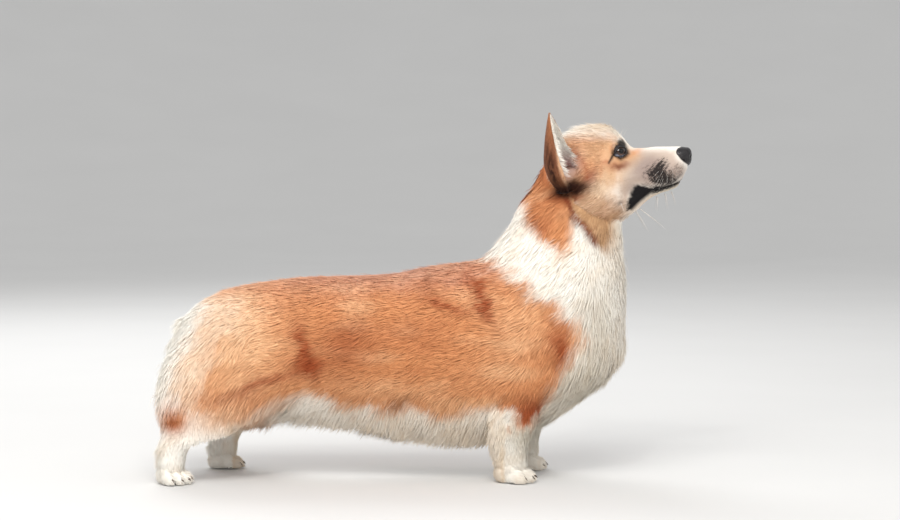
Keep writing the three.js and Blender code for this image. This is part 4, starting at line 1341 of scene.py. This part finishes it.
def scattered(points, faces, cell):
    """Random places over triangles, thinned to one in each cell of that size, with their normals."""
    a, b, c = (points[faces[:, k]] for k in range(3))
    area = np.linalg.norm(np.cross(b - a, c - a), axis=1) / 2
    count = int(area.sum() / cell**2 * TRIES)
    pick = rng.choice(len(faces), count, p=area / area.sum())
    u, v = rng.random((2, count))
    over = u + v > 1
    u, v = np.where(over, 1 - u, u)[:, None], np.where(over, 1 - v, v)[:, None]
    normals = vertex_normals(points, faces)
    na, nb, nc = (normals[faces[pick, k]] for k in range(3))
    places = a[pick] + u * (b[pick] - a[pick]) + v * (c[pick] - a[pick])
    ways = unit(na + u * (nb - na) + v * (nc - na))
    cells = np.floor(places / cell).astype(np.int64)
    key = (cells[:, 0] * CELLS_ACROSS + cells[:, 1]) * CELLS_ACROSS + cells[:, 2]
    _, first = np.unique(key, return_index=True)
    return places[first], ways[first]


def along_skin(flow, normals):
    """The flow of the coat laid down on the skin."""
    flow = flow - normals * np.sum(flow * normals, axis=1, keepdims=True)
    return unit(flow)


def spread_field(points, size, seed):
    """Three soft random waves, one for each axis."""
    return np.stack([Ripple(size, seed + k)(points) for k in range(3)], axis=1)


def leg_zone(points):
    """1 on the legs below the trunk, fading above the elbow and the stifle."""
    x, y, z = points.T
    near_leg = (np.abs(y) > 26) & (((x > 70) & (x < 195)) | (x < -180))
    clear_of_trunk = smooth(torso.share(points, -TRUNK_COAT), 1.03, 1.12)
    return near_leg * clear_of_trunk * (1 - smooth(z, 78, 118))


def body_lie(points, normals):
    """Back along the trunk, down the neck, chest, thighs and legs, and forward over the toes."""
    x, y, z = points.T
    s, a = neck_place(points)
    flow = np.tile([-1.0, 0, -0.34], (len(x), 1))

    def lead(way, amount):
        """Turns the flow towards a way by an amount for each point."""
        nonlocal flow
        flow = flow + (np.array(way) - flow) * amount[:, None]

    lead([-0.55, 0, -0.85], smooth(s, 275, 325))
    lead([-0.1, 0, -1.0], smooth(a, 85, 135))
    lead([-0.7, 0, -0.7], smooth(a, 85, 135) * smooth(240 - s, 0, 60))
    lead([-0.5, 0, -0.85], smooth(a, 30, 90) * (1 - smooth(a, 90, 140)) * (1 - smooth(s, 280, 320)) * 0.8)
    lead([-0.6, 0, -0.8], smooth(-x, 180, 245) * smooth(np.abs(y), 20, 45))
    lead([-0.25, 0, -1.0], smooth(-x, 280, 312))
    lead([-0.62, 0, -0.78], (1 - smooth(z, 95, 150)) * (np.abs(x + 40) < 175))
    lead([-0.12, 0, -1.0], leg_zone(points))
    lead([0.8, 0, -0.6], 1 - smooth(z, 16, 34))
    flow[:, 1] += 0.16 * np.clip(y / 25, -1, 1) * smooth(a, 90, 130)
    flow += 0.13 * spread_field(points, 70, 20) + 0.05 * spread_field(points, 22, 30)
    return along_skin(flow, normals)


def body_length(points, normals):
    """Length of the tufts and how high their tips stand, in millimetres."""
    x, y, z = points.T
    s, a = neck_place(points)
    on_legs = leg_zone(points)
    length = 20 + 4 * smooth(s, 280, 330) + 12 * smooth(a, 95, 140) * (1 - smooth(s, 300, 360))
    height = 4.4 + 0.8 * smooth(s, 280, 330) + 1.6 * smooth(a, 95, 140)
    belly = smooth(-normals[:, 2], 0.05, 0.6) * (1 - smooth(z, 70, 115)) * (1 - on_legs)
    belly = belly * (1 - smooth(x, 90, 130))
    length = length + 13 * belly
    height = height + 13.0 * belly
    rear = smooth(-x, 280, 318) * smooth(z, 84, 112) * (1 - smooth(z, 165, 205))
    length = length + 13 * rear
    height = height + 7.5 * rear
    crown = smooth(s, 415, 448) * (1 - smooth(a, 60, 95))
    length = length * (1 - 0.62 * crown)
    height = height * (1 - 0.6 * crown) * (1 - 0.4 * smooth(z, 215, 245) * smooth(-x, 200, 280))
    behind_elbow = on_legs * smooth(-normals[:, 0], 0.35, 0.85) * smooth(z, 26, 60)
    length = length * (1 - on_legs) + on_legs * (10 + 5 * smooth(z, 50, 100)) + 12 * behind_elbow
    height = height * (1 - on_legs) + on_legs * (4.2 + 1.0 * smooth(z, 50, 100)) + 3.6 * behind_elbow
    far_stifle = smooth(y, 20, 40) * bump(x + 160, 30) * bump(z - 90, 22)
    height = height * (1 - 0.7 * far_stifle)
    by_head = 1 - smooth(head.share(points), 1.02, 1.3)
    by_crease = bump(beside(x, z, CREASE), 14) * smooth(np.abs(y), 12, 26)
    length = length * (1 - 0.3 * by_head) * (1 - 0.45 * by_crease)
    height = height * (1 - 0.55 * by_head) * (1 - 0.35 * by_crease)
    flank = patch(x, z, (-175, 96), (75, 22), -6) * (1 - on_legs)
    length = length + 17 * flank
    height = height + 5 * flank
    paws = 1 - smooth(z, 12, 30)
    return length * (1 - paws) + 7.0 * paws, height * (1 - paws) + 2.2 * paws


def hanging(points, normals):
    """How far hair is drawn down by its weight: most under the belly, flank and chest."""
    x, _, z = points.T
    low = (1 - smooth(z, 88, 130)) * smooth(-normals[:, 2], -0.35, 0.3) * (1 - leg_zone(points))
    chest = smooth(x, 175, 215) * (1 - smooth(z, 120, 190))
    rump = smooth(-x, 285, 315) * (1 - smooth(z, 120, 170))
    return 1.3 * np.clip(low, 0, 1) * (x < 150) + 0.5 * chest + 0.4 * rump


def tuft_faces(sizes):
    """Triangles that join rings of three points, or of one point at the ends."""
    faces = []
    start = 0
    for now, after in zip(sizes, sizes[1:]):
        ahead = start + now
        for j in range(3):
            a, b = start + j % now, start + (j + 1) % 3 % now
            c, d = ahead + j % after, ahead + (j + 1) % 3 % after
            if now == 3:
                faces.append((a, d, b))
            if after == 3:
                faces.append((a, c, d))
        start = ahead
    return np.array(faces)


def tufts(name, coat, stations, slot, sink=1.2):
    """Solid three-sided tufts that leave the skin, bend back along the coat and taper to a point.

    The coat is a list of arrays with a row for each tuft: its root, the skin's normal, its flow, length,
    height, width, hang, colours and place in the map. At a share t of its length a tuft lies
    mean * (1.85 - 1.7 t) above the skin, where sin(mean) is height / length, and it is drawn down by its
    hang times t. Its width is its own times the station's second number.
    """
    roots, normals, flow, length, height, width, hang, colours, charts = coat
    count = len(roots)
    mean = np.arcsin(np.clip(height / length, 0.02, 0.8))
    sideways = np.cross(normals, flow)
    sway = rng.normal(0, 0.07, count) + 0.10 * Ripple(30, 51)(roots)
    bend = 0.16 * Ripple(21, 52)(roots)
    place = roots - normals * sink
    rings = []
    before = 0.0
    for t, full, _ in stations:
        half_way = (t + before) / 2
        lift = mean * (1.85 - 1.7 * half_way)
        step = (length * (t - before))[:, None]
        turn = (sway + bend * half_way)[:, None]
        way = flow * np.cos(lift)[:, None] + normals * np.sin(lift)[:, None] + sideways * turn
        way = way - Z * (hang * half_way)[:, None]
        place = place + unit(way) * step
        before = t
        half = (width * full / 2)[:, None]
        ring = [place - sideways * half, place + normals * half * RIDGE, place + sideways * half]
        rings.append(np.stack(ring if full > 0 else [place], axis=1))
    points = np.concatenate(rings, axis=1)
    points[..., 2] = np.maximum(points[..., 2], 0.5)
    sizes = [ring.shape[1] for ring in rings]
    t_of, _, shades = np.repeat(np.array(stations), sizes, axis=0).T
    across = np.concatenate([[0.0] if size == 1 else [-0.5, 0.0, 0.5] for size in sizes])
    on_ridge = np.concatenate([[False] if size == 1 else [False, True, False] for size in sizes])
    pattern = tuft_faces(sizes)
    beneath = ~on_ridge[pattern].any(axis=1)
    lean = 0.7 * across[None, :, None] * sideways[:, None] - 0.1 * t_of[None, :, None] * Z
    soft = unit(normals[:, None] + lean)
    near = [np.maximum(1 - np.abs(2 * t_of - k), 0)[None, :, None] for k in range(3)]
    pieces = -(-count // (MOST_TRIANGLES // len(pattern)))
    for number in range(pieces):
        part = slice(number * count // pieces, (number + 1) * count // pieces)
        firsts = np.arange(part.stop - part.start)[:, None, None] * points.shape[1]
        faces = (firsts + pattern[None]).reshape(-1, 3)
        piece = new_piece(f"{name}_{number + 1}", points[part].reshape(-1, 3), faces, hair)
        # painted shade along each tuft, weaker on pale hair
        pale = smooth(colours[part][:, :, 2].mean(axis=1), 0.25, 0.8)
        shading = 1 - (1 - shades)[None] * (1 - 0.6 * pale)[:, None]
        tint = sum(near[k] * colours[part][:, k : k + 1] for k in range(3)) * shading[..., None]
        add_colours(piece, np.clip(tint.reshape(-1, 3), 0, 1))
        corners = soft[part][:, pattern]
        corners[:, beneath] = -normals[part][:, None, None]
        piece.data.normals_split_custom_set(corners.reshape(-1, 3).tolist())
        chart = charts[part][:, None] + PATCH * np.stack([across, t_of - 0.5], -1)[None]
        uv = chart.reshape(-1, 2)[faces.ravel()].astype(np.float32)
        piece.data.uv_layers.new(name="OFBake").data.foreach_set("uv", uv.ravel())
        keep(piece, slot)
    return count * len(pattern)


def chart_of(points, zone):
    """Each zone of the skin rolled out in its own part of the unit square."""
    x, y, z = points.T
    if zone == "head":
        turn = np.arctan2(z - head_level(x), y) / (2 * math.pi) + 0.5
        return np.stack([0.02 + 0.44 * (x - 155) / 200, 0.52 + 0.46 * turn], 1)
    if zone.startswith("ear"):
        t = (side_of(points, 1 if zone == "ear_left" else -1) - EAR_ROOT) @ ear_up / ear_length
        around = np.abs(y) - 44
        left = 0.52 if zone == "ear_left" else 0.64
        return np.stack([left + 0.05 + 0.0018 * around, 0.54 + 0.4 * np.clip(t, 0, 1)], 1)
    s, a = neck_place(points)
    on_neck = s > 300
    on_leg = leg_zone(points) > 0.5
    turn = np.arctan2(z - 165, y) / (2 * math.pi) + 0.5
    chart = np.stack([0.02 + 0.6 * (x + 352) / 630, 0.02 + 0.46 * turn], 1)
    neck_turn = np.arctan2(y, a - 75) / (2 * math.pi) + 0.5
    neck_chart = np.stack([0.66 + 0.32 * (s - 300) / 170, 0.02 + 0.46 * neck_turn], 1)
    leg_x = np.where(x > 0, 120, -300)
    strip = np.where(x > 0, 0, 2) + np.where(y > 0, 0, 1)
    leg_turn = np.arctan2(np.abs(y) - 58, x - leg_x) / (2 * math.pi) + 0.5
    leg_chart = np.stack([0.77 + 0.21 * np.clip(z / 120, 0, 1), 0.53 + 0.115 * strip + 0.1 * leg_turn], 1)
    chart = np.where(on_neck[:, None], neck_chart, chart)
    return np.where(on_leg[:, None], leg_chart, chart)


def coat_colours(colour_of, roots, lie, length, amount=0.055):
    """Colours at three places along each tuft. Tufts differ one by one and in soft clumps, pale ones less."""
    tone = amount * rng.normal(0, 1, len(roots)) + 0.05 * Ripple(12, 61)(roots)
    tints = np.array([0.75, 1.0, 1.2])
    ends = []
    for share in (0.05, 0.45, 0.85):
        colours = colour_of(roots + lie * (share * length)[:, None])
        strength = tone * (1.25 - 0.85 * smooth(colours[:, 2], 0.2, 0.8))
        ends.append(colours * np.clip(1 + strength[:, None] * tints, 0.6, 1.35))
    return np.stack(ends, axis=1)


# Each station's share of the length, width and shade; the shade is painted, darker at the root and a little
# lighter at the tip
LONG = [(0.0, 0.0, 0.92), (0.28, 1.0, 0.98), (0.66, 0.75, 1.0), (1.0, 0.0, 1.04)]
SHORT = [(0.0, 0.0, 0.92), (0.42, 1.0, 0.99), (1.0, 0.0, 1.04)]
triangles = 0

roots, ways = scattered(body_points, body_faces, BODY_CELL)
outside = (head.share(roots, -head_depth(roots[:, 0])) > 1.0) & (roots[:, 2] > 3)
on_leg = leg_zone(roots) > 0.55
outside &= ~on_leg & (roots[:, 2] > 34) & (roots @ neck_along < 455)
roots, ways = roots[outside], ways[outside]
length, height = body_length(roots, ways)
length = length * rng.uniform(0.75, 1.2, len(roots))
height = height * rng.uniform(0.55, 1.15, len(roots)) * (1 + 0.7 * (rng.random(len(roots)) < 0.05))
hang = hanging(roots, ways)
lie = body_lie(roots, ways)
colours = coat_colours(body_colour, roots, lie, length)
coat = [roots, ways, lie, length, height, 1.15 + 0.018 * length, hang, colours, chart_of(roots, "body")]
short = length <= FRINGE_LENGTH
for name, chosen, stations in (("coat_body", short, SHORT), ("coat_fringe", ~short, LONG)):
    triangles += tufts(name, [rows[chosen] for rows in coat], stations, "coat_red")

roots, ways = scattered(leg_points, leg_faces, LEG_CELL)
legs = ((leg_zone(roots) > 0.4) | (roots[:, 2] <= 36)) & (roots[:, 2] > 2.5) & (ways[:, 2] > -0.75)
legs &= torso.share(roots, -TRUNK_COAT) > 1
roots, ways = roots[legs], ways[legs]
length, height = body_length(roots, ways)
length = length * rng.uniform(0.8, 1.2, len(roots))
height = height * rng.uniform(0.6, 1.15, len(roots))
lie = body_lie(roots, ways)
colours = coat_colours(body_colour, roots, lie, length)
coat = [roots, ways, lie, length, height, 0.9 + 0.03 * length, 0 * length, colours, chart_of(roots, "body")]
triangles += tufts("coat_legs", coat, SHORT, "coat_white")


def head_lie(points, normals):
    """Back from the nose over the muzzle and skull, and down over the cheeks and throat."""
    x, y, z = points.T
    flow = np.tile([-1.0, 0, 0.0], (len(x), 1))
    flow[:, 2] = -0.25 + 0.5 * smooth(z, 425, 450) - 0.75 * smooth(250 - x, 0, 40) * (1 - smooth(z, 385, 430))
    flow[:, 1] = 0.35 * np.clip(y / 8, -1, 1) * smooth(x, 300, 335)
    flow += 0.12 * spread_field(points, 30, 40)
    return along_skin(flow, normals)


def head_length(points):
    """Very short on the muzzle, longer over the skull, and longest on the cheek behind the mouth."""
    x, _, z = points.T
    length = 3.4 + 3.4 * smooth(300 - x, 0, 45) + 5.5 * smooth(250 - x, 0, 45)
    length = length + 4 * smooth(235 - x, 0, 25) * (1 - smooth(z, 380, 425))
    jaw = (1 - smooth(z, 345, 378)) * (1 - smooth(x, 250, 285))
    crown = smooth(z, 425, 445) * smooth(262 - x, 0, 12)
    length = length + 13 * jaw + 5 * crown
    height = 0.7 + 0.6 * smooth(300 - x, 0, 40) + 1.9 * smooth(245 - x, 0, 45) + 2.2 * jaw + 2.4 * crown
    near_eye = np.minimum(eye_share(points, 1)[0], eye_share(points, -1)[0])
    length = length * (0.45 + 0.55 * smooth(near_eye, 1.3, 3.0))
    height = height * (0.4 + 0.6 * smooth(near_eye, 1.3, 3.0))
    return length, height


roots, ways = scattered(*head_mesh, HEAD_CELL)
x, y, z = roots.T
bare = (neck.share(roots, -neck_depth(neck_along @ roots.T) - 1) < 1) | (x > 345)
for side in SIDES:
    bare |= eye_share(roots, side)[0] < 1.22
bare |= within(x, z, NOSE_BLACK, 0.5) > 0.5
bare |= (np.abs(z - mouth_line(x)) < 1.6) & (x > 264)
hollow = ((x - 195) / 11) ** 2 + ((z - 402) / 17) ** 2 < 0.8
bare |= hollow & (np.abs(y) > 20)
roots, ways = roots[~bare], ways[~bare]
length, height = head_length(roots)
length = length * rng.uniform(0.8, 1.2, len(roots))
height = height * rng.uniform(0.6, 1.2, len(roots))
fuzzy = (rng.random(len(roots)) < 0.1) * (smooth(roots[:, 2], 430, 445) + 1 - smooth(roots[:, 2], 350, 372))
height = height * (1 + 0.9 * fuzzy)
lie = head_lie(roots, ways)
colours = coat_colours(head_colour, roots, lie, length, 0.12)
coat = [roots, ways, lie, length, height, 0.62 + 0.035 * length, 0 * length, colours, chart_of(roots, "head")]
triangles += tufts("coat_head", coat, SHORT, "coat_red")

# Ears: short hair outside towards the tip, long pale hair from the front edges inside

ear_faces = ear_mesh[1]
lining = ear_inner_flag[ear_faces].all(axis=1)
for side in SIDES:
    name = sided("ear", side)
    back_roots, back_ways = scattered(ear_mesh[0], ear_faces[~lining], EAR_CELL)
    lining_roots, lining_ways = scattered(ear_mesh[0], ear_faces[lining], EAR_CELL)
    roots, ways = np.concatenate([back_roots, lining_roots]), np.concatenate([back_ways, lining_ways])
    inner = np.arange(len(roots)) >= len(back_roots)
    t = (roots - EAR_ROOT) @ ear_up / ear_length
    bare_skin = inner & (t < 0.34) & ((rng.random(len(t)) < 0.8) | (t < 0.22))
    chosen = ((head.share(roots, -2) > 1) | (t > 0.3)) & ~bare_skin
    roots, ways, inner, t = roots[chosen], ways[chosen], inner[chosen], t[chosen]
    flow = np.tile(ear_up, (len(t), 1)) + 0.08 * spread_field(roots, 16, 70)
    lining_flow = np.tile(ear_open * 0.85 - ear_up * 0.5 - ear_side * 0.1, (len(t), 1))
    lining_flow += 0.14 * spread_field(roots, 12, 75)
    flow = along_skin(np.where(inner[:, None], lining_flow, flow), ways)
    length = np.where(inner, 4.5 + 8 * bump(t - 0.45, 0.28), 4.6 + 3 * (1 - smooth(t, 0.1, 0.4)))
    length = length * rng.uniform(0.7, 1.25, len(t)) * (1 - 0.45 * smooth(t, 0.8, 1.0))
    clear_of_wall = np.maximum(1.0, length**2 / (1.5 * ear_wide(t)))
    inside_height = clear_of_wall * rng.uniform(0.9, 1.3, len(t))
    height = np.where(inner, inside_height, 0.7 * rng.uniform(0.5, 1.2, len(t)))
    colours = coat_colours(lambda places: ear_colour(places, inner), roots, flow, length * ~inner, 0.12)
    moved = FAR_EAR if side > 0 else 0 * X
    roots, ways, flow = (side_of(rows, side) for rows in (roots, ways, flow))
    charts = chart_of(roots, name)
    coat = [roots + moved, ways, flow, length, height, 0.62 + 0.02 * length, 0 * length, colours, charts]
    triangles += tufts(f"coat_{name}", coat, SHORT, "coat_red", sink=0.3)

# Whiskers and the hairs over the eyes


def whisker(start, way, length, droop, thick):
    """A hair that leaves along a way and bends down: droop times its share of length, squared."""
    t = np.linspace(0, 1, 12)[:, None]
    path = np.array(start) + unit(np.array(way, float)) * length * t - Z * droop * t**2
    return tube(path, thick * (1 - 0.92 * t[:, 0] ** 1.4), 5)


LONE_WHISKERS = [
    # start, way and length
    ((283, 17, 350), (0.72, 0.35, -0.48), 46),
    ((279, 15, 347), (0.5, 0.3, -0.7), 30),
    ((318, 8, 368), (0.2, 0.25, -0.95), 16),
    ((326, 6, 371), (0.4, 0.2, -0.9), 14),
    ((308, 10, 364), (-0.1, 0.3, -0.95), 14),
    ((257, 56, 358), (0.2, 0.9, -0.4), 18),
]
whiskers = []
for side in SIDES:
    for row in range(3):
        for place in range(5):
            start = side_of(np.array([330 - 5 * place, 19.0 + 1.1 * place, 404 - 5.0 * row - place]), side)
            way = side_of(np.array([0.2 - 0.16 * place, 0.5, -0.35 - 0.1 * row]), side)
            size = rng.uniform(12, 20) + 2 * place
            whiskers.append(whisker(start, way, size, rng.uniform(1, 3), 0.15))
    for start, way, size in LONE_WHISKERS:
        start, way = side_of(np.array(start, float), side), side_of(np.array(way), side)
        whiskers.append(whisker(start, way, size, 5, 0.42))
    for place in range(3):
        start = side_of(np.array([262 - 4.0 * place, 27.0, 443.0]), side)
        way = side_of(np.array([0.35 - 0.2 * place, 0.5, 0.8]), side)
        whiskers.append(whisker(start, way, 13, -1, 0.2))
keep(new_piece("whiskers", *joined(*whiskers), whisker_material), "coat_white")

# Floor, light and camera

# The floor is a disc in metres that rises like a bowl from 4.5 m out, to close the view behind the dog
FLOOR_ROWS, FLOOR_COLUMNS = 44, 96
floor_reach = np.concatenate([[0.001, 1.0, 2.0, 3.0], np.linspace(4.0, 12.0, FLOOR_ROWS - 4)])[:, None]
floor_turn = np.linspace(0, 2 * math.pi, FLOOR_COLUMNS, endpoint=False)[None, :]
floor_rise = 4.0 * smooth(floor_reach, 4.5, 16.0) - 0.0005 + 0 * floor_turn
floor_grid = np.stack([floor_reach * np.cos(floor_turn), floor_reach * np.sin(floor_turn), floor_rise], -1)
floor_points = floor_grid.reshape(-1, 3) * 1000 + MIDDLE
floor_faces = grid_faces(FLOOR_ROWS, FLOOR_COLUMNS, close_ends=False)
floor = new_piece("floor", floor_points, floor_faces, floor_finish())

world = bpy.data.worlds.new("studio")
world.use_nodes = True
sky = world.node_tree.nodes["Background"].inputs
sky["Color"].default_value = (0.9, 0.9, 0.9, 1)
sky["Strength"].default_value = 0.72
bpy.context.scene.world = world
bpy.context.scene.view_settings.view_transform = "Standard"


def soft_light(name, place, aim, size, power, colour):
    """A square area light at a place, turned to face another. Places and size are in metres."""
    data = bpy.data.lights.new(name, "AREA")
    data.size, data.energy, data.color = size, power, colour
    light = bpy.data.objects.new(name, data)
    light.location = place
    ahead, aside, up = np.array(aim, float) - np.array(place, float)
    tilt = math.atan2(math.hypot(ahead, aside), -up)
    light.rotation_euler = (tilt, 0, math.atan2(aside, ahead) - math.pi / 2)
    bpy.context.scene.collection.objects.link(light)


soft_light("key", (-0.4, -2.4, 2.5), (0, 0, 0.2), 2.2, 86, (1, 0.975, 0.94))
soft_light("catch", (-0.2, -2.2, 2.3), (0.2, 0, 0.4), 0.2, 8, (1, 0.99, 0.97))
soft_light("fill", (2.4, -1.8, 1.2), (0, 0, 0.25), 1.8, 6, (1, 0.985, 0.96))
soft_light("rim", (-0.9, 2.0, 2.0), (0, 0, 0.3), 1.6, 30, (1, 1, 1))

PHOTO_WIDTH = 900  # pixels
FOCAL_LENGTH = 2622  # pixels
CAMERA_PLACE = np.array([39, -3400, 500])
CAMERA_DIP = 3.67  # degrees below level
lens = bpy.data.cameras.new("photo_angle")
lens.sensor_width = 36
lens.lens = FOCAL_LENGTH / PHOTO_WIDTH * lens.sensor_width
lens.clip_end = 60
camera = bpy.data.objects.new("photo_angle", lens)
camera.location = (CAMERA_PLACE - MIDDLE) / 1000
camera.rotation_euler = (math.radians(90 - CAMERA_DIP), 0, 0)
bpy.context.scene.collection.objects.link(camera)
bpy.context.scene.camera = camera

print("skin triangles", len(skin_faces), "coat triangles", triangles)
